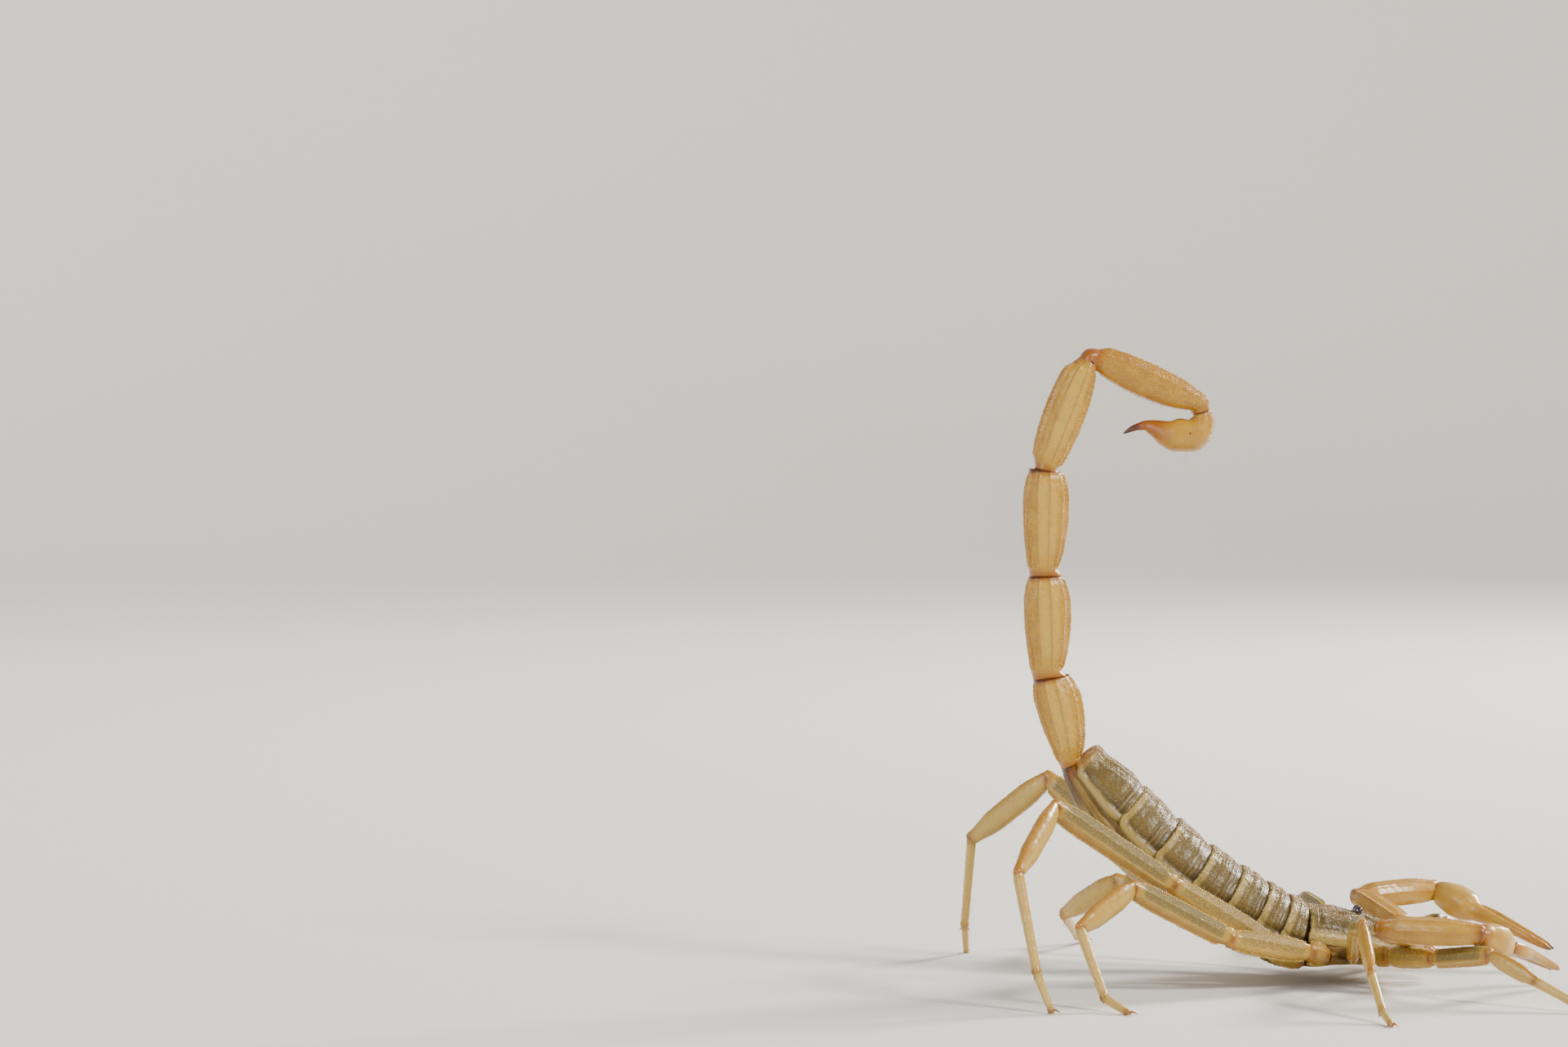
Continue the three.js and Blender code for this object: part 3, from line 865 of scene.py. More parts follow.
def atlas(sizes: list[tuple[float, float]]) -> list[tuple[float, float, float, float]]:
    """Lay charts out in the unit square without overlap.

    Args:
        sizes: Width and height of each chart, in millimetres.

    Returns:
        For each chart, its corner and its width and height.
    """
    widest = max(max(w for w, _ in sizes), 1.08 * math.sqrt(sum(w * h for w, h in sizes)))
    margin = 0.012 * widest
    x = y = shelf = margin
    placed: dict[int, tuple[float, float]] = {}
    for i in sorted(range(len(sizes)), key=lambda k: -sizes[k][1]):
        w, h = sizes[i]
        if x + w > widest + 2 * margin:
            x, y, shelf = margin, y + shelf + margin, 0.0
        placed[i] = (x, y)
        x, shelf = x + w + margin, max(shelf, h)
    full = max(widest + 3 * margin, y + shelf + margin)
    return [(placed[i][0] / full, placed[i][1] / full, w / full, h / full) for i, (w, h) in enumerate(sizes)]


def new_mesh(name: str, points: Array, faces: list, uvs: Array, edges: list | None = None) -> bpy.types.Mesh:
    """Make a mesh in the part's frame.

    Args:
        name: Its name.
        points: Places in animal millimetres.
        faces: The points of each face.
        uvs: The unwrap, a row for each face's corner.
        edges: Loose edges.

    Returns:
        The mesh.
    """
    mesh = bpy.data.meshes.new(name)
    mesh.from_pydata(to_row(points).tolist(), edges or [], faces)
    mesh.shade_smooth()
    mesh.uv_layers.new(name=UNWRAP).data.foreach_set("uv", uvs.astype(np.float32).ravel())
    return mesh


def link_object(name: str, mesh: bpy.types.ID | None) -> bpy.types.Object:
    """Put a mesh, a light or a camera in the scene as an object at the origin.

    Args:
        name: The object's name.
        mesh: What it holds, or nothing for an empty.

    Returns:
        The object.
    """
    made = bpy.data.objects.new(name, mesh)
    bpy.context.scene.collection.objects.link(made)
    return made


def set_attribute(mesh: bpy.types.Mesh, name: str, kind: str, domain: str, values: Array) -> None:
    """Store numbers on a mesh.

    Args:
        mesh: The mesh.
        name: The attribute's name.
        kind: Its type.
        domain: What carries it.
        values: One number or row for each element.
    """
    layer = mesh.attributes.new(name, kind, domain)
    key = "vector" if kind == "FLOAT_VECTOR" else "value"
    plain = bool if kind == "BOOLEAN" else np.float32
    layer.data.foreach_set(key, np.asarray(values).astype(plain).ravel())


@dataclass
class Growth:
    """What grows on a skin: scattered granules, rows of them on keels, and bristles."""

    # Millimetres: a granule's radius, the least distance between two, the step of a keel's row of them,
    # a bristle's length, and the least distance between two.
    grain: float = 0.065
    spacing: float = 0.19
    bead_spacing: float = 0.2
    bristle: float = 0.9
    bristle_spacing: float = 0.8
    seed: int = 1

    LENGTHS = {
        "Granule Radius": "grain",
        "Granule Spacing": "spacing",
        "Bead Spacing": "bead_spacing",
        "Bristle Length": "bristle",
        "Bristle Spacing": "bristle_spacing",
    }
    PACKING = 1.3  # points drawn for each square of the spacing, before those too close are dropped
    BRISTLE_SEED = 31
    BRISTLE = {"Vertices": 5, "Side Segments": 2, "Radius Top": 0.000004, "Radius Bottom": 0.00002}
    LEAN = (0.6, 0.6, 3.0)  # radians that a bristle leans and turns at most
    PATCH = (0.0014, 0.0014, 0.0)  # half the size of a granule's own patch of the unwrap

    @classmethod
    def tree(cls) -> bpy.types.NodeTree:
        """Build the Geometry Nodes tree on first use.

        Returns:
            The tree.
        """
        found = bpy.data.node_groups.get("Cuticle growth")
        if found:
            return found
        inputs = {"Geometry": "NodeSocketGeometry"} | {name: "NodeSocketFloat" for name in cls.LENGTHS}
        inputs |= {"Seed": "NodeSocketInt", "Finish": "NodeSocketMaterial"}
        tree = new_tree("Cuticle growth", "GeometryNodeTree", inputs, {"Geometry": "NodeSocketGeometry"})
        n = Nodes(tree)
        given = n.add("NodeGroupInput").outputs
        seed = given["Seed"]

        ball = {"Radius": given["Granule Radius"], "Subdivisions": 1}
        scatter = cls._scattered(n, given, "grain", given["Granule Spacing"], 0)
        grown = cls._planted(n, scatter, cls._shape(n, "GeometryNodeMeshIcoSphere", ball), 0.55, 1.2, seed)

        cone = cls.BRISTLE | {"Depth": given["Bristle Length"]}
        hairs = cls._scattered(n, given, "hair", given["Bristle Spacing"], cls.BRISTLE_SEED)
        least = tuple(-angle for angle in cls.LEAN)
        lean = cls._random(n, "FLOAT_VECTOR", least, cls.LEAN, seed)
        bristles = cls._planted(n, hairs, cls._shape(n, "GeometryNodeMeshCone", cone), 0.5, 1.2, seed, lean)

        lines = {"Mesh": given["Geometry"], "Selection": cls._named(n, "keel_line", "BOOLEAN")}
        rows = n.add("GeometryNodeMeshToCurve", {}, lines).outputs[0]
        steps = {"Curve": rows, "Length": given["Bead Spacing"]}
        beads = n.add("GeometryNodeResampleCurve", {"mode": "LENGTH"}, steps).outputs[0]
        out = {"Vector": cls._named(n, "bead_up", "FLOAT_VECTOR")}
        upright = n.add("FunctionNodeAlignRotationToVector", {"axis": "Z"}, out).outputs[0]
        bead = cls._shape(n, "GeometryNodeMeshIcoSphere", {"Radius": MM, "Subdivisions": 1})
        size = cls._named(n, "bead", "FLOAT")
        strung = cls._planted(n, (beads, upright), bead, 0.75, 1.15, seed, None, size)

        joined = n.add("GeometryNodeJoinGeometry")
        for part in (grown, bristles, strung):
            tree.links.new(part, joined.inputs[0])
        solid = n.add("GeometryNodeRealizeInstances", {}, {"Geometry": joined.outputs[0]}).outputs[0]
        root, spot = (cls._named(n, name, "FLOAT_VECTOR") for name in ("bead_uv", "bead_spot"))
        spot = n.vectors("ADD", root, spot)
        solid = n.add("GeometryNodeRemoveAttribute", {}, {"Geometry": solid, "Name": UNWRAP}).outputs[0]
        solid = cls._stored(n, solid, UNWRAP, spot, "FLOAT2", "CORNER")
        solid = n.add("GeometryNodeSetShadeSmooth", {}, {"Geometry": solid}).outputs[0]
        painted = {"Geometry": solid, "Material": given["Finish"]}
        n.add("NodeGroupOutput", {}, {"Geometry": n.add("GeometryNodeSetMaterial", {}, painted).outputs[0]})
        return tree

    @staticmethod
    def _named(n: Nodes, name: str, kind: str) -> Socket:
        """Read a named attribute."""
        node = n.add("GeometryNodeInputNamedAttribute", {"data_type": kind}, {"Name": name})
        return n.out(node, "Attribute")

    @staticmethod
    def _stored(
        n: Nodes, shape: Socket, name: str, value: Socket, kind: str = "FLOAT_VECTOR", domain: str = "POINT"
    ) -> Socket:
        """Store a named attribute on a geometry.

        Args:
            n: The tree.
            shape: The geometry.
            name: The attribute's name.
            value: Its value.
            kind: Its type.
            domain: Where it is kept.

        Returns:
            The geometry with the attribute.
        """
        options = {"data_type": kind, "domain": domain}
        inputs = {"Geometry": shape, "Name": name, "Value": value}
        return n.add("GeometryNodeStoreNamedAttribute", options, inputs).outputs[0]

    @staticmethod
    def _random(n: Nodes, kind: str, low: object, high: object, seed: object) -> Socket:
        """Draw a random number or vector for each point."""
        node = n.add("FunctionNodeRandomValue", {"data_type": kind}, {"Min": low, "Max": high, "Seed": seed})
        return n.out(node, "Value")

    @classmethod
    def _shape(cls, n: Nodes, kind: str, sizes: dict) -> Socket:
        """Make a shape to be repeated, with its own little patch of the unwrap.

        Args:
            n: The tree.
            kind: The node that makes it.
            sizes: That node's inputs.

        Returns:
            The shape.
        """
        here = n.add("GeometryNodeInputPosition").outputs[0]
        spot = n.vectors("MULTIPLY", n.vectors("NORMALIZE", here), cls.PATCH)
        return cls._stored(n, n.add(kind, {}, sizes).outputs[0], "bead_spot", spot)

    @classmethod
    def _scattered(
        cls, n: Nodes, given: Sockets, mark: str, spacing: Socket, shift: int
    ) -> tuple[Socket, Socket]:
        """Scatter points where a mark is strong.

        Args:
            n: The tree.
            given: The tree's inputs.
            mark: The mark that thins them.
            spacing: The least distance between two.
            shift: Added to the seed.

        Returns:
            The points, and the turn that stands each one upright.
        """
        inputs = {
            "Mesh": given["Geometry"],
            "Distance Min": spacing,
            "Density Max": n.math("DIVIDE", cls.PACKING, n.math("MULTIPLY", spacing, spacing)),
            "Density Factor": cls._named(n, mark, "FLOAT"),
            "Seed": n.math("ADD", given["Seed"], float(shift)),
        }
        poisson = {"distribute_method": "POISSON"}
        points = n.add("GeometryNodeDistributePointsOnFaces", poisson, inputs).outputs
        root = cls._named(n, UNWRAP, "FLOAT_VECTOR")
        return cls._stored(n, points["Points"], "bead_uv", root), points["Rotation"]

    @classmethod
    def _planted(
        cls,
        n: Nodes,
        places: tuple[Socket, Socket],
        shape: Socket,
        low: float,
        high: float,
        seed: Socket,
        tilt: Socket | None = None,
        size: Socket | None = None,
    ) -> Socket:
        """Stand a shape at every point.

        Args:
            n: The tree.
            places: Points and their turns.
            shape: What stands there.
            low: The smallest scale.
            high: The largest scale.
            seed: The tree's seed.
            tilt: A random lean.
            size: A further scale, from the points.

        Returns:
            The instances.
        """
        points, turn = places
        scale = cls._random(n, "FLOAT", low, high, seed)
        if size is not None:
            scale = n.math("MULTIPLY", scale, size)
        if tilt is not None:
            leaning = {"Rotation": turn, "Rotate By": tilt}
            turn = n.add("FunctionNodeRotateRotation", {"rotation_space": "LOCAL"}, leaning).outputs[0]
        inputs = {"Points": points, "Instance": shape, "Rotation": turn, "Scale": scale}
        return n.add("GeometryNodeInstanceOnPoints", {}, inputs).outputs[0]

    def apply(self, source: bpy.types.Object, name: str, finish: bpy.types.Material) -> bpy.types.Object:
        """Grow on a copy of a skin.

        Args:
            source: The copy, which is used up.
            name: The new piece's name.
            finish: Its material.

        Returns:
            The piece, a plain mesh.
        """
        values = {socket: getattr(self, size) * MM for socket, size in self.LENGTHS.items()}
        values |= {"Seed": self.seed, "Finish": finish}
        modifier = source.modifiers.new("growth", "NODES")
        modifier.node_group = self.tree()
        for item in modifier.node_group.interface.items_tree:
            if item.in_out == "INPUT" and item.name in values:
                modifier[item.identifier] = values[item.name]
        graph = bpy.context.evaluated_depsgraph_get()
        mesh = bpy.data.meshes.new_from_object(source.evaluated_get(graph))
        bpy.data.objects.remove(source)
        mesh.name = name
        return link_object(name, mesh)


def publish(piece: bpy.types.Object, nodes: tuple[str, ...] = ()) -> bpy.types.Object:
    """Tell the frame about a finished piece.

    Args:
        piece: The piece.
        nodes: The part's nodes it stands for.

    Returns:
        The piece.
    """
    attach(piece, "root")
    if nodes:
        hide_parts(*nodes)
    LOG.info("%s: %d faces", piece.name, len(piece.data.polygons))
    return piece


@dataclass
class Skin:
    """A piece made of one or more tubes."""

    name: str
    slot: Slot
    finish: Finish
    nodes: tuple[str, ...] = ()
    tubes: list[Tube] = field(default_factory=list)
    floor: bool = False  # nothing of it may go below the floor

    KEEL_POINTS = 120

    def _arrays(self) -> None:
        """Work out points, faces, unwrap, marks and keel lines."""
        grids = [tube.grid() for tube in self.tubes]
        runs, sizes = [], []
        for grid in grids:
            forth = np.linalg.norm(np.diff(grid.points, axis=0), axis=2).mean(1)
            runs.append(np.concatenate([[0], np.cumsum(forth)]))
            girth = np.linalg.norm(np.roll(grid.points, -1, 1) - grid.points, axis=2).sum(1).max()
            sizes.append((float(girth), float(runs[-1][-1])))
        points, self.faces, uvs, marks = [], [], [], {name: [] for name in MARKS}
        self.lines: list[tuple[Array, Array, Array, float]] = []
        base = 0
        for grid, run, chart in zip(grids, runs, atlas(sizes)):
            index = base + 1 + np.arange(grid.points[1:-1, :, 0].size).reshape(len(grid.points) - 2, -1)
            uvs += self._unwrap(grid, run / run[-1], chart)
            self._join(index, base)
            for value, pile in [(grid.points, points)] + [(grid.marks[name], marks[name]) for name in MARKS]:
                pile += [value[0, :1], value[1:-1].reshape(-1, *value.shape[2:]), value[-1, :1]]
            base += index.size + 2
        self.points, self.uvs = np.concatenate(points), np.concatenate(uvs)
        if self.floor:
            self.points[:, 2] = np.maximum(self.points[:, 2], 0.0)
        self.marks = {name: np.concatenate(value) for name, value in marks.items()}

    def _join(self, index: Array, base: int) -> None:
        """Lay faces between a grid's rows, and fans at its poles.

        Args:
            index: The point numbers of the rows between the poles.
            base: The first pole's number; the last pole follows the rows.
        """
        beside = np.roll(index, -1, 1)
        quads = np.stack([index[:-1], index[1:], beside[1:], beside[:-1]], -1).reshape(-1, 4)
        first, last = (np.full(index.shape[1], pole) for pole in (base, base + 1 + index.size))
        self.faces += quads.tolist()
        for fan in ([first, index[0], beside[0]], [index[-1], last, beside[-1]]):
            self.faces += np.stack(fan, -1).tolist()

    def _unwrap(self, grid: Grid, share: Array, chart: tuple[float, float, float, float]) -> list[Array]:
        """Unwrap a grid on its chart, and lay its keel lines.

        Args:
            grid: The grid.
            share: The height of each row, as a share of the chart's.
            chart: The chart's corner, width and height.

        Returns:
            The unwrap at the corners of the faces that _join lays, in their order.
        """
        x, y, w, h = chart
        rows, columns = grid.points.shape[:2]
        left = np.broadcast_to(x + w * np.arange(columns) / columns, (rows, columns))
        right = left + w / columns
        middle = (left + right) / 2
        high = np.broadcast_to((y + h * share)[:, None], (rows, columns))
        self._string(grid, np.stack([left, high], -1))

        def corner(side: Array, row: slice | int) -> Array:
            """The unwrap of some rows, on one side of each face."""
            return np.stack([side[row], high[row]], -1)

        near, far = slice(1, rows - 2), slice(2, rows - 1)
        quads = [corner(left, near), corner(left, far), corner(right, far), corner(right, near)]
        fans = [
            [corner(middle, 0), corner(left, 1), corner(right, 1)],
            [corner(left, -2), corner(middle, -1), corner(right, -2)],
        ]
        return [np.stack(quads, 2).reshape(-1, 2)] + [np.stack(fan, 1).reshape(-1, 2) for fan in fans]

    def _string(self, grid: Grid, unwrap: Array) -> None:
        """Lay a grid's keel lines on its skin.

        Args:
            grid: The grid.
            unwrap: The unwrap at its points.
        """
        columns = grid.points.shape[1]
        whole = np.concatenate([grid.points, grid.normals(), unwrap], -1)
        places = np.linspace(0, 1, self.KEEL_POINTS)
        for line, bead in grid.lines:
            share, turn = (np.interp(places, np.linspace(0, 1, len(line)), line[:, k]) for k in (0, 1))
            row = grid.first + share * (grid.rows - 1)
            column = (turn / 360 * columns) % columns
            r, c = np.minimum(row.astype(int), len(whole) - 2), column.astype(int) % columns
            a, b = (row - r)[:, None], (column - np.floor(column))[:, None]
            d = (c + 1) % columns
            near = whole[r, c] * (1 - b) + whole[r, d] * b
            far = whole[r + 1, c] * (1 - b) + whole[r + 1, d] * b
            laid = near * (1 - a) + far * a
            laid[:, 6] = np.where(d == 0, whole[r, c, 6], laid[:, 6])
            self.lines.append((laid[:, :3], laid[:, 3:6], laid[:, 6:8], bead))

    def build(self) -> bpy.types.Object:
        """Make the skin's piece.

        Returns:
            The piece.
        """
        self._arrays()
        mesh = new_mesh(self.name, self.points, self.faces, self.uvs)
        for name, values in self.marks.items():
            set_attribute(mesh, name, "FLOAT", "POINT", values)
        mesh.materials.append(self.finish.material())
        return publish(link_object(self.name, mesh), self.nodes)

    def grow(self, growth: Growth, finish: Cuticle, name: str | None = None) -> bpy.types.Object:
        """Make the piece of granules and bristles that stands on the skin.

        Args:
            growth: What grows.
            finish: Its finish.
            name: The piece's name.

        Returns:
            The piece.
        """
        name = name or self.name + "_granules"
        own = len(self.points)
        points, edges = [self.points], []
        ups, roots, beads = [np.zeros((own, 3))], [np.zeros((own, 3))], [np.zeros(own)]
        base = own
        for place, normal, uv, bead in self.lines:
            points.append(place)
            ups.append(normal)
            roots.append(np.column_stack([uv, np.zeros(len(uv))]))
            beads.append(np.full(len(place), bead))
            edges += [(base + k, base + k + 1) for k in range(len(place) - 1)]
            base += len(place)
        mesh = new_mesh(name + "_roots", np.concatenate(points), self.faces, self.uvs, edges)
        for mark, values in self.marks.items():
            set_attribute(mesh, mark, "FLOAT", "POINT", np.concatenate([values, np.zeros(base - own)]))
        set_attribute(mesh, "bead", "FLOAT", "POINT", np.concatenate(beads))
        set_attribute(mesh, "bead_up", "FLOAT_VECTOR", "POINT", np.concatenate(ups))
        set_attribute(mesh, "bead_uv", "FLOAT_VECTOR", "POINT", np.concatenate(roots))
        ends = np.zeros(len(mesh.edges) * 2, np.int32)
        mesh.edges.foreach_get("vertices", ends)
        set_attribute(mesh, "keel_line", "BOOLEAN", "EDGE", (ends.reshape(-1, 2) >= own).all(1))
        return publish(growth.apply(link_object(name + "_roots", mesh), name, finish.material()))


# ---- Abdomen ----


@dataclass
class Abdomen:
    """Seven back plates over one long belly."""

    # From the tail end to the waist: x, z, downward pitch, top, bottom, half width.
    stations: tuple[tuple[float, ...], ...] = (
        (-8.75, 20.2, 47, 2.05, 2.35, 2.7),
        (-5.1, 15.55, 45, 3.25, 3.75, 4.5),
        (-2.0, 12.3, 42, 3.5, 3.8, 5.15),
        (1.2, 9.55, 37, 3.6, 3.65, 5.4),
        (4.3, 7.55, 32, 3.55, 3.35, 5.4),
        (7.0, 6.05, 29, 3.4, 2.95, 5.25),
        (9.25, 4.95, 25, 3.2, 2.45, 5.0),
        (11.4, 4.15, 17, 2.95, 2.1, 4.75),
    )
    edge: float = 0.85  # how far below the centre a back plate's side edge lies
    # Stations of the belly plates' hind edges, and how far ahead of an edge its breathing slit lies.
    plate_edges: tuple[float, ...] = (0.9, 1.95, 2.95, 3.95, 4.95)
    slit_ahead: float = 0.45
    # The flanks' folds: degrees from the top, width in degrees, height in millimetres.
    folds: tuple[tuple[float, float, float], ...] = (
        (94, 2.6, -0.1), (99, 3.4, 0.08), (104, 2.6, -0.1), (110, 3.8, 0.1), (115, 2.4, -0.14),
    )
    # The combs: the backbone's bends on the left, its lengths' sections, and its teeth.
    comb_line: tuple[tuple[float, float, float], ...] = (
        (11.2, 0.75, 1.6), (10.1, 2.6, 1.7), (8.8, 4.3, 2.1), (7.5, 5.3, 2.65),
    )
    comb_rows: tuple[Rows, ...] = ([(0, 0.3, 0.2), (1, 0.36, 0.2)], [(1, 0.3, 0.2)], [(1, 0.16, 0.15)])
    comb_teeth: int = 26

    def _section(self, place: float, grow: float, drop: float, belly: bool = False) -> Array:
        """Find a cross-section at a place along the stations, 0 at the tail end.

        Args:
            place: The place, in stations.
            grow: Added to its sizes.
            drop: How far its centre is lowered.
            belly: Whether it is the belly's, which is squarer below.

        Returns:
            The ring.
        """
        table = np.array(self.stations)
        x, z, pitch, top, bottom, half = smooth(np.arange(8.0), table, np.array([place]))[0]
        along, up = tilted(pitch)
        at = np.array([x, 0, z]) - up * drop
        if belly:
            return ring(at, along, up, half + grow, 0.9, bottom + grow - drop, 2.0, 3.0)
        return ring(at, along, up, half + grow, top + grow + drop, 0.35, 2.5, 2.2)

    def tergite(self, number: int) -> Skin:
        """Shape one back plate.

        Args:
            number: 1 at the waist to 7 at the tail.

        Returns:
            Its skin.
        """
        rear = 7 - number
        table = np.array(self.stations)
        span = float(np.linalg.norm(table[rear + 1, :2] - table[rear, :2]))
        last = number == 7
        margin = (0.7 if last else 0.8) / span  # the smooth hind margin
        fore = 0.84 if last else 0.7  # where the smooth front strip begins
        # (share of the span, growth, how far below the axis its side edges lie)
        profile = [
            (0.03 / span, -0.06, 0.3),
            (0.12 / span, 0.04, 0.5),
            (margin * 0.45, 0.06, 0.72),
            (margin * 0.85, 0.05, 0.86),
            (margin * 1.3, -0.04, 0.9),
            (0.45, 0.03, 0.9),
            (fore - 0.04, 0.0, 0.9),
            (fore + 0.04, -0.12, 0.85),
            (0.97, -0.2, 0.8),
            (1.05, -0.42, 0.7),
        ]
        rings = np.array([self._section(min(rear + share, 7.0), g, d) for share, g, d in profile])
        if number == 1:
            rings[-1, :3] += rings[-1, 3:6] * 0.3  # reaches under the head shield

        def zone(g: Grid) -> Array:
            """Where along the plate's own length a point lies."""
            return profile[0][0] + g.share * (profile[-1][0] - profile[0][0])

        def ridges(g: Grid) -> Array:
            """The two cross ridges of the smooth front strip."""
            s = zone(g) + 0.012 * ripple(g.points, 1.8, 5)
            return bump(s, fore + 0.06, 0.022) + 0.8 * bump(s, fore + 0.155, 0.026)

        def relief(g: Grid) -> Array:
            """The side rim, the furrow inside it, ridges of the front strip, and unevenness."""
            s = zone(g)
            rim = 0.1 * bump(g.away, 88, 3) - 0.12 * bump(g.away, 82, 4) * ramp(s, 0.03, 0.15)
            wrinkle = 0.085 * ridges(g) * fade(g.away, 74, 84)
            furrow = -0.1 * bump(s, fore - 0.02, 0.025) * (g.away < 82)
            uneven = 0.02 * ripple(g.points, 1.6, number) + 0.018 * ripple(g.points, 0.4, number + 20)
            return np.where(g.away < 100, rim + wrinkle + furrow + uneven * (g.away < 82), 0.0)

        def pale(g: Grid) -> Array:
            """The straw-coloured side rim and hind margin."""
            s = zone(g)
            side = ramp(g.away, 84.5, 87.5) * (1 - 0.6 * ramp(s, 0.85, 1.0))
            hind = fade(s, margin * 0.8, margin * 1.2) * (0.3 + 0.6 * ramp(g.away, 15, 45))
            edges = np.maximum(side, (0.55 if last else 0.9) * hind)
            return np.maximum(edges, 0.42 * ridges(g) * (g.away < 84))

        def dark(g: Grid) -> Array:
            """The purplish front strip, and painted shade along the furrow inside the side rim and inside the
            cupped hind edge.
            """
            s = zone(g)
            strip = (0.62 - 0.5 * ridges(g)) * ramp(s, fore - 0.03, fore + 0.02) * fade(g.away, 80, 86)
            # Painted shade in the furrow inside the side rim.
            furrow = 0.3 * bump(g.away, 81.5, 2.5) * ramp(s, 0.1, 0.2)
            # 0.6 * g.inside is painted shade inside the cupped hind edge.
            return np.clip(strip + furrow + 0.6 * g.inside, 0, 1)

        def grain(g: Grid) -> Array:
            """Granules thicken towards the front of the rough zone and the back's middle."""
            s = zone(g)
            rough = ramp(s, margin * 0.9, 0.4) * fade(s, fore - 0.05, fore) * fade(g.away, 74, 81)
            crest = fade(g.away, 22, 48) * (1 - 0.6 * ramp(s, fore - 0.02, fore + 0.06))
            return np.clip(0.95 * rough + 0.95 * crest + 0.45 * (g.away < 86) * (s < fore), 0, 1)

        def dust(g: Grid) -> Array:
            """Warm dust lies along the top of the back."""
            strip = fade(g.away + 6 * ripple(g.points, 1.3, 8), 6, 34)
            return np.clip(strip * (0.6 + 0.45 * ripple(g.points, 0.8, 3)), 0, 0.85)

        def joint(g: Grid) -> Array:
            """The last plate is warm brown where it meets the tail."""
            return 0.6 * fade(g.start, 0.1, 1.0) * last

        keels = (
            Keel(((margin * 0.4, 0), (fore - 0.04, 0)), 0.06, 0.2, 0.11, False),
            Keel(((margin * 0.3, 27), (fore - 0.06, 21)), 0.07, 0.2, 0.1),
            Keel(((0.08, 87), (0.9, 87)), 0.0, 0.2, 0.05),
        )
        if last:
            keels += (Keel(((0.2, 50), (0.74, 42)), 0.08, 0.18, 0.09),)
        tube = Tube(
            rings, around=208, step=0.1, start=Cap.DOME if last else Cap.CUP, start_depth=0.3, end_depth=0.1,
            keels=keels, relief=relief,
            marks={"pale": pale, "dark": dark, "grain": grain, "dust": dust, "joint": joint},
        )
        return Skin(f"back_plate_{number}", Slot.BACK, BACK_SKIN, (f"tergite_{number}",), [tube])

    def belly(self) -> Skin:
        """Shape the soft flanks and the plates underneath.

        Returns:
            Their skin.
        """
        places = np.linspace(0.02, 7, 15)
        rings = np.array([self._section(place, -0.25, self.edge + 0.16, True) for place in places])
        rings[-2:, 9] -= (0.5, 1.0)  # narrower under the head shield

        def place(g: Grid) -> Array:
            """Where a point lies, in stations."""
            return np.interp(g.start, np.linspace(0, g.length, len(places)), places)

        def slits(g: Grid, width: float) -> Array:
            """The breathing slits, one pair on each plate but the last."""
            ahead = sum(bump(place(g), edge + self.slit_ahead, 0.05) for edge in self.plate_edges[1:])
            return ahead * bump(g.away, 139, width)

        def relief(g: Grid) -> Array:
            """Lengthwise folds of the flanks, the steps of the belly plates, and their breathing slits."""
            s = place(g)
            wave = 1.2 * ripple(g.points * (1, 0, 1), 3.0, 9)
            folds = sum(height * bump(g.away, turn + wave, width) for turn, width, height in self.folds)
            pinch = -0.12 * sum(bump(s, edge, 0.09) for edge in self.plate_edges) * bump(g.away, 104, 14)
            steps = sum(0.12 * (ramp(s, e, e + 0.05) - ramp(s, e + 0.05, e + 0.9)) for e in self.plate_edges)
            plates = steps * ramp(g.away, 115, 122) - 0.12 * slits(g, 5)
            return folds * (0.3 + 0.7 * ramp(s, 0.4, 1.3)) + pinch + plates + 0.03 * ripple(g.points, 1.1, 4)

        def dark(g: Grid) -> Array:
            """Breathing slits, painted shade in the groove just under the back plates' edges, and painted
            shade over the shadowed hind part.
            """
            # Painted shade over the lower side of the hind part, by the tail's root.
            hind = 0.85 * fade(place(g), 0.3, 1.5) * ramp(g.away, 112, 124)
            # 0.45 * bump(g.away, 93, 2) is a painted shade line under the back plates' edges.
            return np.clip(slits(g, 4.5) + hind + 0.45 * bump(g.away, 93, 2), 0, 1)

        def pale(g: Grid) -> Array:
            """Pale edges of the belly plates and crests of the folds."""
            s = place(g)
            edges = sum(bump(s, edge + 0.04, 0.1) for edge in self.plate_edges) * ramp(g.away, 118, 126)
            plates = 0.65 * ramp(g.away, 114, 124)
            crests = 0.3 * bump(g.away, 101, 7) + 0.3 * bump(g.away, 110, 3) * ramp(s, 0.8, 1.8)
            return np.clip(plates + 0.5 * edges + crests, 0, 1)

        def joint(g: Grid) -> Array:
            """Brown at the tail and in the folds."""
            return np.clip(0.7 * fade(g.start, 0.1, 0.9) + 0.2 * bump(g.away, 104, 12), 0, 1)

        tube = Tube(
            rings, around=192, step=0.16, start_depth=0.5, end_depth=0.4, relief=relief,
            keels=(Keel(((0.02, 150), (0.13, 146)), 0.07, 0.15, 0.0),),
            marks={"dark": dark, "pale": pale, "joint": joint, "hair": lambda g: 0.15 * (g.away > 122)},
        )
        return Skin("flanks_and_belly", Slot.UNDERSIDE, BELLY_SKIN, ("belly",), [tube])

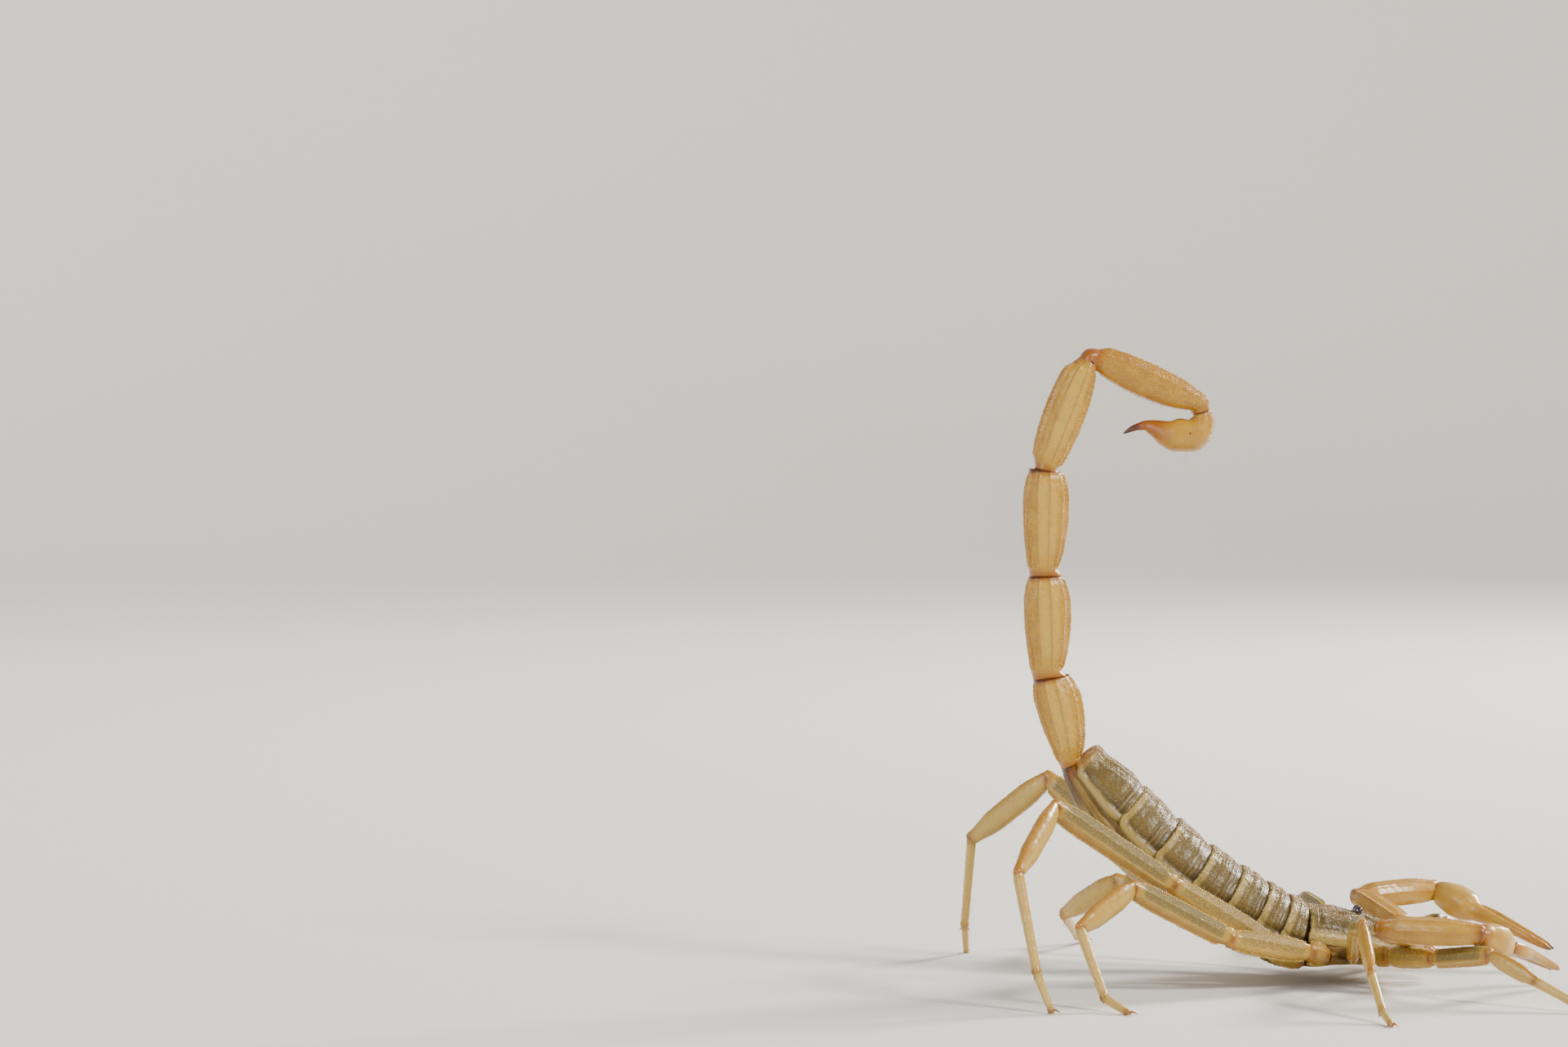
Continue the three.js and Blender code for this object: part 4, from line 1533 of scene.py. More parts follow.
    def pecten(self, side: Side) -> Skin:
        """Shape one comb, with its teeth.

        Args:
            side: The animal's side.

        Returns:
            Its skin.
        """
        line = np.array(self.comb_line) * (1, side.value, 1)
        backbone = chain(list(line), list(self.comb_rows))
        tubes = [Tube(backbone, 20, 0.16, relief=lambda g: 0.05 * np.sin(g.start * 2 * math.pi / 0.7))]
        knots = np.linspace(0, 1, len(line))
        for k in range(self.comb_teeth):
            t = 0.06 + 0.92 * k / (self.comb_teeth - 1)
            root, ahead = smooth(knots, line, np.array([t, min(t + 0.03, 1)]))
            way = unit(ahead - root) if t < 0.98 else unit(line[-1] - line[-2])
            back = unit(np.cross(way, UP) * side.value + np.array([-0.35, 0, 0]))
            back = back if back[0] < 0 else -back
            tip = root + back * (1.05 - 0.35 * t) - UP * 0.05
            tooth = chain([root, tip], [[(0, 0.13, 0.12), (0.7, 0.12, 0.13), (1, 0.07, 0.08)]])
            tubes.append(Tube(tooth, 8, 0.22, start_depth=0.05, end_depth=0.1, marks={"pale": 0.8}))
        return Skin(f"comb_{side.label}", Slot.UNDERSIDE, BELLY_SKIN, (f"pecten_{side.label}",), tubes)

    def build(self) -> None:
        """Build and dress the abdomen."""
        for number in range(1, 8):
            skin = self.tergite(number)
            skin.build()
            growth = Growth(grain=0.07, spacing=0.132, bead_spacing=0.19, seed=40 + number)
            skin.grow(growth, BACK_GRAIN)
        self.belly().build()
        for side in Side:
            self.pecten(side).build()


# ---- Head ----


@dataclass
class Head:
    """Carapace, eyes, jaws and the underside between the legs."""

    x: float = CARAPACE_REAR
    z: float = 4.1
    pitch: float = 9.0
    length: float = 9.8
    rear: float = 5.0
    front: float = 3.15
    # Along the shield: share, what is added to its half width, height.
    shield: Rows = (
        (0.0, 0.0, 2.75), (0.04, 0.05, 2.86), (0.12, 0.06, 2.9), (0.32, 0.0, 2.9), (0.42, 0.0, 2.86),
        (0.5, 0.0, 2.8), (0.62, 0.0, 2.6), (0.82, 0.0, 2.2), (0.95, -0.08, 1.9), (1.0, -0.3, 1.6),
    )
    mound: float = 0.47  # share of the shield's length where the large eyes stand
    # The three small eyes of a front corner: share, distance from the middle, rise, radius.
    small: Rows = ((0.955, 2.15, 1.52, 0.17), (0.925, 2.42, 1.38, 0.17), (0.89, 2.62, 1.27, 0.14))
    # A lens: how far out along its axis, and its radius there, in radii.
    lens: Rows = ((-0.6, 0.82), (-0.25, 0.98), (0.0, 1.0), (0.3, 0.95), (0.55, 0.83), (0.75, 0.65))
    # Each pair's coxae: the inner end's x and y, its girth, and how far from the leg it stops.
    coxae: dict[int, tuple[float, ...]] = field(default_factory=lambda: {
        1: (19.0, 0.9, 0.8, 0.35),
        2: (17.6, 0.9, 0.88, 0.35),
        3: (15.9, 1.1, 0.95, 0.35),
        4: (14.4, 1.3, 0.95, 0.9),
    })
    # Plates between the coxae: both ends, three half widths, thickness, and the sides that have one.
    plates: tuple = (
        ((17.0, 0.0, 1.78), (15.0, 0.0, 1.7), (0.22, 0.62, 0.82), 0.3, (1,)),
        ((14.75, 0.36, 1.66), (13.6, 0.5, 1.62), (0.28, 0.46, 0.4), 0.22, (1, -1)),
        ((13.3, 0.0, 1.7), (11.6, 0.0, 1.55), (0.5, 0.78, 0.6), 0.3, (1,)),
        ((20.9, 0.42, 2.3), (18.6, 0.5, 2.05), (0.22, 0.42, 0.36), 0.3, (1, -1)),
    )

    def frame(self, share: float) -> tuple[Array, Array, Array]:
        """Find the head's axis.

        Args:
            share: Share of the way forwards.

        Returns:
            A point of the axis, the way it runs, and the way up from it.
        """
        along, up = tilted(self.pitch)
        return np.array([self.x, 0, self.z]) + along * share * self.length, along, up

    def carapace(self) -> Skin:
        """Shape the head shield, with its eye mound and lyre of keels.

        Returns:
            Its skin.
        """
        rings = []
        for share, grow, top in self.shield:
            half = self.rear + (self.front - self.rear) * share**1.15 + grow
            rings.append(ring(*self.frame(share), half, top, 0.3, 2.7, 2.2))

        def spot(g: Grid, ahead: float, aside: Array) -> Array:
            """A round hump about the eye mound, by its reach along the shield and a scaled distance aside."""
            return np.exp(-(((g.share - self.mound) / ahead) ** 2) - aside**2)

        def relief(g: Grid) -> Array:
            """The eye mound, the furrows, the side rims and unevenness."""
            y, s = g.points[..., 1], g.share
            mound = 0.42 * spot(g, 0.065, y / 0.85) - 0.2 * spot(g, 0.09, y / 0.16)
            behind = -0.14 * bump(y, 0, 0.28) * (ramp(s, 0.08, 0.2) - ramp(s, 0.36, 0.41))
            ahead = -0.12 * bump(y, 0, 0.4) * ramp(s, 0.56, 0.72)
            side_dip = -0.16 * bump(np.abs(y), 1.9, 0.7) * bump(s, 0.52, 0.16)
            rear_dip = -0.12 * bump(s, 0.075, 0.025) * (g.away < 62)
            rim = 0.1 * bump(g.away, 84, 7) - 0.08 * bump(g.away, 70, 6)
            front_rim = 0.08 * bump(s, 0.975, 0.02) - 0.07 * bump(s, 0.93, 0.02)
            uneven = 0.03 * ripple(g.points, 1.2, 11) + 0.016 * ripple(g.points, 0.45, 12)
            top = mound + behind + ahead + side_dip + rear_dip + front_rim
            return np.where(g.away < 80, top, 0) + rim + np.where(g.away < 86, uneven, 0)

        def grain(g: Grid) -> Array:
            """Granules everywhere on top but in the furrows."""
            thick = 0.55 + 0.45 * bump(g.share, 0.25, 0.3)
            bare = 1 - 0.8 * spot(g, 0.07, g.points[..., 1] / 0.95)
            return thick * bare * (1 - 0.7 * ramp(g.away, 64, 80)) * (g.away < 88)

        def dark(g: Grid) -> Array:
            """Dusky marks between the keels, black round the eyes, and painted shade inside the cupped ends.
            """
            eyes = 0.95 * spot(g, 0.05, (np.abs(g.points[..., 1]) - 0.62) / 0.5)
            clouds = 0.4 * ramp(ripple(g.points * (1, 1, 0), 2.6, 21), -0.1, 0.6)
            # g.inside adds painted shade inside the cupped ends.
            return np.clip(eyes + clouds * (g.away < 66) * (g.share < 0.9) + g.inside, 0, 1)

        def pale(g: Grid) -> Array:
            """Straw-coloured edges all round."""
            ends = 0.8 * ramp(g.share, 0.95, 0.99) + 0.5 * fade(g.share, 0.02, 0.05)
            return np.clip(ramp(g.away, 68, 80) + ends, 0, 1)

        def dust(g: Grid) -> Array:
            """Warm dust on the hind half's middle."""
            strip = 0.6 * fade(g.away + 7 * ripple(g.points, 1.3, 8), 15, 55)
            hind = 1 - 0.8 * ramp(g.share, 0.3, 0.6)
            return np.clip(strip * hind * (0.8 + 0.4 * ripple(g.points, 1.4, 6)), 0, 1)

        def hair(g: Grid) -> Array:
            """A few bristles along the front edge."""
            return 0.25 * ramp(g.share, 0.92, 0.97) * (g.away < 80)

        tube = Tube(
            np.array(rings), around=224, step=0.085,
            start=Cap.CUP, start_depth=0.3, end=Cap.CUP, end_depth=0.25,
            keels=(
                Keel(((0.54, 13), (0.7, 18), (0.86, 27), (0.95, 33)), 0.15, 0.2, 0.11),
                Keel(
                    ((0.42, 16), (0.34, 20), (0.26, 19), (0.18, 24), (0.1, 34), (0.05, 41)), 0.17, 0.2, 0.12
                ),
                Keel(((0.36, 33), (0.28, 38), (0.2, 44), (0.12, 52)), 0.13, 0.18, 0.1),
                Keel(((0.06, 10), (0.05, 40), (0.06, 62)), 0.1, 0.14, 0.09),
                Keel(((0.66, 42), (0.8, 47), (0.92, 50)), 0.12, 0.16, 0.1),
                Keel(((0.97, 4), (0.965, 30), (0.955, 52)), 0.04, 0.12, 0.08),
            ),
            relief=relief, marks={"grain": grain, "dark": dark, "pale": pale, "dust": dust, "hair": hair},
        )
        return Skin("head_shield", Slot.BACK, BACK_SKIN, ("carapace",), [tube])

    def eyes(self) -> list[Skin]:
        """Shape the two large eyes on the mound and the three small ones at each front corner.

        Returns:
            Their skins.
        """
        at, along, up = self.frame(4.6 / self.length)
        skins, beads = [], []
        for side in Side:
            outward = unit(up + 0.7 * side.value * LEFTWARD)
            large = self._lens(at + up * 3.08 + LEFTWARD * side.value * 0.62, outward, 0.42)
            name, node = f"large_eye_{side.label}", f"eye_{side.label}"
            skins.append(Skin(name, Slot.EYES, EyeLens(), (node,), [large]))
        for side in Side:
            outward = unit(side.value * LEFTWARD + 0.8 * up + 0.5 * along)
            for share, apart, rise, radius in self.small:
                place = self.frame(share)[0] + up * rise + LEFTWARD * side.value * apart
                beads.append(self._lens(place, outward, radius))
        return [*skins, Skin("small_eyes", Slot.EYES, EyeLens(), (), beads)]

    def _lens(self, centre: Array, outward: Array, radius: float) -> Tube:
        """Shape a smooth round lens.

        Args:
            centre: Its middle.
            outward: The way it looks.
            radius: Its radius.

        Returns:
            The lens.
        """
        r, up = radius, unit(np.cross(outward, np.array([0.9, 0.1, 0.2])))
        rings = [ring(centre + outward * r * d, outward, up, r * w, r * w, power=2.0) for d, w in self.lens]
        return Tube(np.array(rings), around=40, step=r / 12, end_depth=r * 0.24, start_depth=r * 0.2)

    def jaw(self, side: Side) -> Skin:
        """Shape one chelicera: its swollen base, its fixed finger and its movable finger.

        Args:
            side: The animal's side.

        Returns:
            Its skin.
        """
        at, along, up = self.frame(1)

        def places(*steps: tuple[float, float, float]) -> list[Array]:
            """Points by their steps ahead of the shield's front edge, aside and up."""
            return [at + along * x + up * z + LEFTWARD * side.value * y for x, y, z in steps]

        base = chain(
            places((-0.5, 1.02, 0.64), (1.7, 1.08, 0.52), (2.6, 1.42, 0.3), (3.3, 1.12, 0.0)),
            [
                [(0, 0.7, 0.6), (0.35, 0.9, 0.84), (0.75, 0.94, 0.88, 0.85), (1, 0.82, 0.78)],
                [(0.5, 0.56, 0.6), (1, 0.38, 0.46)],
                [(0.6, 0.28, 0.3), (1, 0.1, 0.12)],
            ],
            power=2.2,
        )
        finger = chain(
            places((1.9, 0.66, 0.3), (2.6, 0.5, 0.2), (3.05, 0.56, 0.02), (3.45, 0.86, -0.12)),
            [[(0, 0.3, 0.42), (1, 0.28, 0.4)], [(1, 0.22, 0.3)], [(1, 0.07, 0.09)]],
        )
        tip = {
            "dark": lambda g: 0.9 * ramp(g.share, 0.72, 0.98),
            "joint": lambda g: 0.6 * ramp(g.share, 0.5, 0.8),
        }
        facing = -90 * side.value
        tubes = [
            Tube(
                base, around=48, step=0.07, end_depth=0.1,
                keels=(Keel(((0.72, -facing), (0.97, -facing)), 0.03, 0.1, 0.13, False),),
                relief=lambda g: 0.03 * ripple(g.points, 0.8, 13),
                marks=tip | {
                    "hair": lambda g: 0.5 * bump(g.share, 0.5, 0.2),
                    "grain": lambda g: 0.25 * bump(g.share, 0.5, 0.1) * (g.away < 70),
                },
            ),
            Tube(
                finger, around=28, step=0.06, end_depth=0.06, marks=tip,
                keels=(Keel(((0.35, facing), (0.95, facing)), 0.02, 0.08, 0.11, False),),
            ),
        ]
        nodes = (f"chelicera_{side.label}", f"chelicera_finger_{side.label}")
        return Skin(f"jaw_{side.label}", Slot.PINCERS, JAW_SKIN, nodes, tubes)

    def _coxa(self, leg: "Leg") -> Tube:
        """Shape the first joint of a leg, which lies flat under the body.

        Args:
            leg: The leg.

        Returns:
            The coxa.
        """
        x, y, girth, short = self.coxae[leg.number]
        start, root = np.array([x, leg.side.value * y, 2.45]), leg.root()
        rows = [
            (0, 0.45, 0.15, 0.55), (0.12, girth * 0.8, 0.2, 0.76), (0.35, girth * 0.98, 0.25, 0.86),
            (0.8, girth, 0.45, 0.82), (1, 0.62, 0.42, 0.62),
        ]
        return Tube(
            chain([start, root - unit(root - start) * short], [rows], power=2.4),
            around=44, step=0.12, end=Cap.CUP, end_depth=0.2,
            keels=(Keel(((0.08, 118), (0.5, 112), (0.95, 118)), 0.07, 0.12, 0.045),),
            relief=lambda g: 0.02 * ripple(g.points, 0.6, 17),
            marks={
                "pale": lambda g: 0.4 * bump(g.away, 180, 50),
                "joint": lambda g: 0.7 * ramp(-g.end, -0.5, 0.0) + 0.4 * fade(g.start, 0.0, 0.4),
                # 0.8 * g.inside is painted shade inside the cupped end.
                "dark": lambda g: np.clip(0.8 * g.inside + 0.5 * bump(g.away, 95, 8), 0, 1),
                "hair": lambda g: 0.2 * (g.away > 120),
            },
        )

    def chest(self, legs: list["Leg"]) -> Skin:
        """Shape the underside between the legs: coxae, sternum, genital plates and mouth lobes.

        Args:
            legs: The eight legs, whose roots the coxae reach.

        Returns:
            Its skin.
        """
        rings = []
        for i, half in enumerate((3.9, 4.7, 4.6, 4.0, 3.4, 2.3)):
            at, along, up = self.frame(i / 5)
            depth = (at[2] - 0.15 - 2.05) * (0.6 if i == 5 else 0.95)
            rings.append(ring(at - up * 0.15, along, up, half, 0.5, max(depth, 0.3), 2.0, 3.0))
        middle = Tube(
            np.array(rings), around=96, step=0.2, relief=lambda g: 0.05 * ripple(g.points, 0.9, 31),
            marks={"joint": 0.25, "dark": 0.25},
        )
        tubes = [middle] + [self._coxa(leg) for leg in legs]
        for start, stop, halves, thick, sides in self.plates:
            rows = [(share, half, thick) for share, half in zip((0, 0.45, 1), halves)]
            for side in sides:
                rings = chain([np.array(end) * (1, side, 1) for end in (start, stop)], [rows])
                tubes.append(Tube(rings, 28, 0.1, start_depth=0.15, end_depth=0.15, marks={"pale": 0.6}))
        return Skin("breast_plates", Slot.UNDERSIDE, BELLY_SKIN, ("chest",), tubes)

    def build(self, legs: list["Leg"]) -> None:
        """Build and dress the head.

        Args:
            legs: The eight legs.
        """
        shield = self.carapace()
        shield.build()
        shield.grow(Growth(0.09, 0.19, 0.21, bristle=0.5, bristle_spacing=0.5, seed=60), BACK_GRAIN)
        for eye in self.eyes():
            eye.build()
        teeth = Growth(0.04, 0.25, 0.26, bristle=0.55, bristle_spacing=0.3, seed=62)
        for side in Side:
            jaw = self.jaw(side)
            jaw.build()
            jaw.grow(teeth, JAW_SKIN, jaw.name + "_teeth")
        self.chest(legs).build()


# ---- Tail ----


@dataclass
class TailSegment:
    """One segment of the tail."""

    number: int
    length: float
    rise: float
    width: float
    back: tuple[float, float, float]  # reach from its axis near its root, half way and near its end
    under: tuple[float, float, float]
    foot: tuple[float, float, float] = (0.7, 0.0, 0.055)  # its flare on the back and beneath, and height

    SHARES = (0, 0.1, 0.22, 0.36, 0.52, 0.68, 0.82, 0.93, 1)
    WIDTHS = (0.62, 0.72, 0.88, 0.97, 1, 1, 0.97, 0.92, 0.82)
    STATIONS = (
        0, 0.015, 0.03, 0.05, 0.075, 0.1, 0.13, 0.17, 0.22, 0.3, 0.4, 0.5, 0.6, 0.7, 0.78, 0.84, 0.89, 0.93,
        0.965, 0.99, 1.0,
    )
    # The fifth segment's end curls down over the bulb's stalk: x, z, rise, half width, height.
    LIP = ((2.14, 52.78, -54, 1.35, 0.94), (2.24, 52.5, -66, 1.22, 0.84), (2.32, 52.2, -78, 1.12, 0.74))
    # Keels: degrees from the top, height, width, and radius of their granules.
    KEELS = (
        (29, 0.14, 0.2, 0.1), (54, 0.1, 0.16, 0.09), (87, 0.05, 0.14, 0.055),
        (112, 0.12, 0.14, 0.075), (150, 0.13, 0.17, 0.11), (168, 0.06, 0.15, 0.09),
    )
    LAST_KEELS = ((36, 0.05, 0.2, 0.06), (118, 0.04, 0.2, 0.09), (160, 0.1, 0.18, 0.11))
    KEEL_ENDS = (0.96, 0.96, 0.96, 0.88, 0.9)

    @property
    def last(self) -> bool:
        """Whether it is the fifth, which carries the bulb."""
        return self.number == 5

    @staticmethod
    def _reach(ends: tuple[float, float, float], share: float) -> float:
        """How far the segment reaches from its axis at a share of its length, by a parabola.

        Args:
            ends: Reach at the root, the middle and the end.
            share: Where along the segment, 0 to 1.

        Returns:
            The reach in millimetres.
        """
        a, b, c = 0.1, 0.5, 0.9
        root, middle, end = ends
        return (
            root * (share - b) * (share - c) / ((a - b) * (a - c))
            + middle * (share - a) * (share - c) / ((b - a) * (b - c))
            + end * (share - a) * (share - b) / ((c - a) * (c - b))
        )

    def rows(self) -> Rows:
        """List the segment's sections.

        Returns:
            (share, half width, reach of the back, reach underneath), waisted just above a flared foot.
        """
        made = []
        flare, sole, toe = self.foot
        for share in self.STATIONS:
            half = self.width * float(np.interp(share, self.SHARES, self.WIDTHS))
            foot = math.exp(-((share / toe) ** 2))
            waist = 0.13 * math.exp(-(((share - 1.7 * toe) / 0.03) ** 2))
            rim = 1 - 0.19 * max(0.0, (share - 0.8) / 0.2) ** 1.3
            back = self._reach(self.back, share) * rim + flare * foot - waist
            under = self._reach(self.under, share) * rim + sole * math.exp(-((share / 0.07) ** 2))
            if self.number == 4:  # drawn in where the tail bends most
                bent = max(0.0, (share - 0.84) / 0.16)
                under += (0.76 - under) * bent**1.3
                back += (1.1 - back) * bent**2
                half *= 1 - 0.18 * bent**1.5
            made.append((share, half + 0.12 * foot, back, under))
        return made

    def relief(self, g: Grid) -> Array:
        """The furrow down the back, faint flats between keels, and unevenness.

        Args:
            g: The grid.

        Returns:
            How far each point moves out.
        """
        body = ramp(g.share, 0.08, 0.2) * fade(g.share, 0.88, 0.97)
        furrow = -0.3 * bump(g.away, 0, 17) * body * (0.6 if self.last else 1.0)
        flats = -0.05 * (bump(g.away, 100, 10) + bump(g.away, 136, 12) + 0.7 * bump(g.away, 70, 9)) * body
        lip = 0.06 * bump(g.end, 0.12, 0.12) * (self.number != 4)
        broad, fine = ripple(g.points, 1.0, self.number), ripple(g.points, 0.4, self.number + 9)
        return furrow + flats + lip + 0.018 * broad * body + 0.008 * fine

    def grain(self, g: Grid) -> Array:
        """Granules are thick on the back, thin on the sides and middling underneath.

        Args:
            g: The grid.

        Returns:
            How thick they stand at each point.
        """
        ends = ramp(g.share, 0.05, 0.14) * fade(g.share, 0.9 if self.last else 0.95, 0.98)
        if self.last:
            return ends * (0.05 + 0.95 * ramp(g.away, 48, 62))
        back = fade(g.away, 60, 72) * ramp(g.away, 6, 16)
        return ends * np.clip(back + 0.14 + 0.6 * ramp(g.away, 112, 124) + 0.4 * bump(g.away, 87, 4), 0, 1)

    def pale(self, g: Grid) -> Array:
        """Paler flanks.

        Args:
            g: The grid.

        Returns:
            How strong it is at each point.
        """
        flank = 0.95 * bump(g.away, 96, 13) + 0.6 * bump(g.away, 74, 9)
        ends = ramp(g.share, 0.05, 0.3) * (1 - 0.6 * ramp(g.share, 0.8, 1))
        return flank * ends * (0.3 if self.last else 1)

    def joint(self, g: Grid) -> Array:
        """Warm brown near both ends, darkest at the rims.

        Args:
            g: The grid.

        Returns:
            How strong it is at each point.
        """
        near = 0.8 * fade(g.start, 0.15, 1.7 if self.last else 0.9)
        far = (0.45 if self.last else 0.8) * fade(g.end, 0.12, 1.3 if self.number > 3 else 0.6)
        edge = 0.22 + 0.45 * fade(g.away, 30, 55) if self.last else 0.35 * ramp(g.away, 130, 160)
        return np.clip(near + far + edge, 0, 1)

    def dark(self, g: Grid) -> Array:
        """The dark red line where two segments meet, partly the joints' own red-brown and partly painted
        shade in the gap, painted shade inside the cupped end, and the dusky line of each side keel.

        Args:
            g: The grid.

        Returns:
            How strong it is at each point.
        """
        # The seams' dark red is partly the joints' own colour and partly painted shade in the gap between rim
        # and neck.
        far = (0.35 if self.number == 4 else 0.95) * fade(g.end, 0.03, 0.16)
        seam_with_gap_shade = far + (0.2 if self.last else 0.8) * fade(g.start, -0.05, 0.1)
        lines = 0.42 * (bump(g.away, 112, 1.6) + 0.6 * bump(g.away, 87, 1.5)) * ramp(g.share, 0.1, 0.15)
        # g.inside is painted shade inside the cupped end.
        return np.clip(seam_with_gap_shade + (0 if self.last else lines) + g.inside, 0, 1)

    def tube(self, start: Array, before: Array, after: Array) -> tuple[Tube, Array]:
        """Shape the segment.

        Args:
            start: Where it starts.
            before: The way its forerunner runs.
            after: The way its follower runs.

        Returns:
            Its tube, and where it ends.
        """
        way = heading(0, self.rise)
        stop = start + way * self.length
        up = -np.cross(way, LEFTWARD)
        ends = [start + unit(before + way) * 0.015, stop - unit(after + way) * 0.03]
        rings = chain(ends, [self.rows()], before, after, up, 2.5)
        stop_at = self.KEEL_ENDS[self.number - 1]
        lines = self.LAST_KEELS if self.last else self.KEELS
        keels = tuple(Keel(((0.1, t - 2), (0.5, t), (stop_at, t - 3)), h, w, b) for t, h, w, b in lines)
        if self.last:
            rings = np.concatenate([rings, curled(self.LIP, 2.4)])
            keels += (Keel(((0.92, 0), (0.93, 180)), 0.1, 0.16, 0.1),)
        marks = {name: getattr(self, name) for name in ("grain", "pale", "joint", "dark")}
        made = Tube(
            rings, around=144, step=0.085, start=Cap.DOME, start_depth=0.18, end=Cap.CUP, end_depth=0.5,
            keels=keels, relief=self.relief, marks=marks | {"hair": lambda g: 0.3 * ramp(g.share, 0.1, 0.2)},
        )
        return made, stop


def curled(stations: Rows, power: float) -> Array:
    """Turn stations of the tail's end into rings.

    Args:
        stations: Centre x and z, rise of the axis, half width and half height.
        power: How square the sections are.

    Returns:
        The rings.
    """
    rings = []
    for x, z, rise, width, height in stations:
        along = heading(0, rise)
        rings.append(ring(np.array([x, 0, z]), along, -np.cross(along, LEFTWARD), width, height, power=power))
    return np.array(rings)


@dataclass
class Tail:
    """Five segments, the bulb and the sting."""

    root: tuple[float, float] = (-9.64, 19.79)
    segments: tuple[TailSegment, ...] = (
        TailSegment(1, 8.26, 103.2, 2.45, (1.2, 2.27, 2.25), (1.1, 1.65, 1.88)),
        TailSegment(2, 9.33, 92.6, 2.4, (1.15, 2.05, 2.0), (1.72, 2.03, 1.97)),
        TailSegment(3, 9.67, 89.9, 2.35, (1.1, 2.0, 1.98), (1.6, 1.98, 1.95)),
        TailSegment(4, 11.21, 68.6, 2.15, (1.1, 1.48, 0.92), (1.74, 2.18, 1.82), (0.6, -0.42, 0.03)),
        TailSegment(5, 10.7, -23.1, 2.0, (1.1, 1.68, 1.24), (1.42, 1.6, 1.25), (0.4, -0.48, 0.06)),
    )
    lead: float = 122.0  # degrees of rise of the body's end, before the first segment
    follow: float = -60.0  # and of the bulb's stalk, after the last
    # Centre x and z, rise of the axis, half width, half height.
    bulb: Rows = (
        (2.35, 52.95, -68, 0.8, 0.5),
        (2.5, 51.74, -103, 1.15, 0.93),
        (2.1, 50.65, -137, 1.42, 1.28),
        (1.18, 50.15, -165, 1.6, 1.55),
        (-0.03, 50.15, -186, 1.55, 1.52),
        (-1.0, 50.35, -203, 1.28, 1.22),
        (-2.0, 50.82, -206, 0.88, 0.78),
        (-2.8, 51.03, -189, 0.53, 0.47),
    )
    sting: Rows = (
        (-2.45, 50.97, -197, 0.56, 0.5),
        (-2.82, 51.03, -189, 0.54, 0.478),
        (-3.55, 50.9, -176, 0.38, 0.34),
        (-4.16, 50.66, -160, 0.27, 0.25),
        (-4.55, 50.45, -153, 0.17, 0.16),
        (-4.78, 50.32, -150, 0.07, 0.07),
    )
    # Studs' radii at heights over their middles: the pivots of the sharpest bend, and the bulb's pores.
    pivot: Rows = ((-0.2, 0.25), (0.08, 0.27), (0.2, 0.2))
    pore: Rows = ((0.0, 0.11), (0.07, 0.11), (0.092, 0.08))
    pore_at: tuple[float, float, float] = (1.15, 1.5, 50.3)

    def build(self) -> None:
        """Build and dress the tail."""
        ways = [heading(0, self.lead), *(heading(0, s.rise) for s in self.segments), heading(0, self.follow)]
        at = np.array([self.root[0], 0, self.root[1]])
        for segment, before, way, after in zip(self.segments, ways, ways[1:], ways[2:]):
            joint = at
            tube, at = segment.tube(at, before, after)
            hinge = self.knee(joint, before, way) if segment.last else self.hinge(joint, before, way)
            tubes = [tube, hinge]
            if segment.last:
                tubes += self.studs(joint - UP * 0.5 + LEFTWARD * 1.44, self.pivot)
            number = segment.number
            skin = Skin(f"tail_segment_{number}", Slot.TAIL, TAIL_SKIN, (f"metasoma_{number}",), tubes)
            skin.build()
            grain = 0.08 if segment.last else 0.07
            skin.grow(Growth(grain, 0.13, 0.2, bristle=1.0, bristle_spacing=1.1, seed=number), TAIL_GRAIN)
        self.telson()

    @staticmethod
    def hinge(at: Array, before: Array, way: Array) -> Tube:
        """Shape the dark red skin between two segments: partly its own red-brown, partly painted shade in the
        gap.

        Args:
            at: The joint.
            before: The way the forerunner runs.
            way: The way the segment runs.

        Returns:
            Its tube.
        """
        rows = [(0, 1.6, 0.85, 0.95), (0.5, 1.65, 0.95, 1.0), (1, 1.5, 0.85, 0.9)]
        rings = chain([at - before * 0.35, at + way * 0.08], [rows], up=-np.cross(way, LEFTWARD), power=2.4)
        # dark 1.0 is partly the joint skin's own red-brown and partly painted shade in the gap.
        return Tube(rings, around=48, step=0.12, start_depth=0.1, end_depth=0.05, marks={"dark": 1.0})

    @staticmethod
    def knee(at: Array, before: Array, way: Array) -> Tube:
        """Shape the orange knuckle that shows where the tail bends most.

        Args:
            at: The joint.
            before: The way the forerunner runs.
            way: The way the segment runs.

        Returns:
            Its tube.
        """
        rows = [
            [(0, 1.62, 1.0, 1.12), (0.5, 1.68, 1.1, 1.0), (1, 1.62, 1.16, 0.86)],
            [(0.5, 1.5, 1.15, 0.97), (1, 1.28, 1.0, 1.02)],
        ]
        up = -np.cross(unit(before + way), LEFTWARD)
        rings = chain([at - before * 0.75, at, at + way * 0.7], rows, up=up, power=2.3)
        return Tube(rings, around=64, step=0.08, marks={"joint": 1.0})

    @staticmethod
    def studs(place: Array, rows: Rows) -> list[Tube]:
        """Shape small dark round studs that face sideways, one on each side.

        Args:
            place: The middle of the left one.
            rows: Their radius at each height over their middle.

        Returns:
            Their tubes.
        """
        tubes = []
        for side in Side:
            out = LEFTWARD * side.value
            rings = [ring(place * (1, side.value, 1) + out * y, out, UP, r, r, power=2.0) for y, r in rows]
            end = 0.3 * rows[-1][1]
            dark = {"dark": 0.95}
            tubes.append(Tube(np.array(rings), 24, 0.05, start_depth=0.03, end_depth=end, marks=dark))
        return tubes

    def telson(self) -> None:
        """Build and dress the bulb and the sting."""

        def joint(g: Grid) -> Array:
            """Warm brown at the stalk and towards the sting."""
            return np.clip(0.22 + 0.6 * fade(g.start, 0.1, 1.3) + ramp(g.share, 0.6, 0.98), 0, 1)

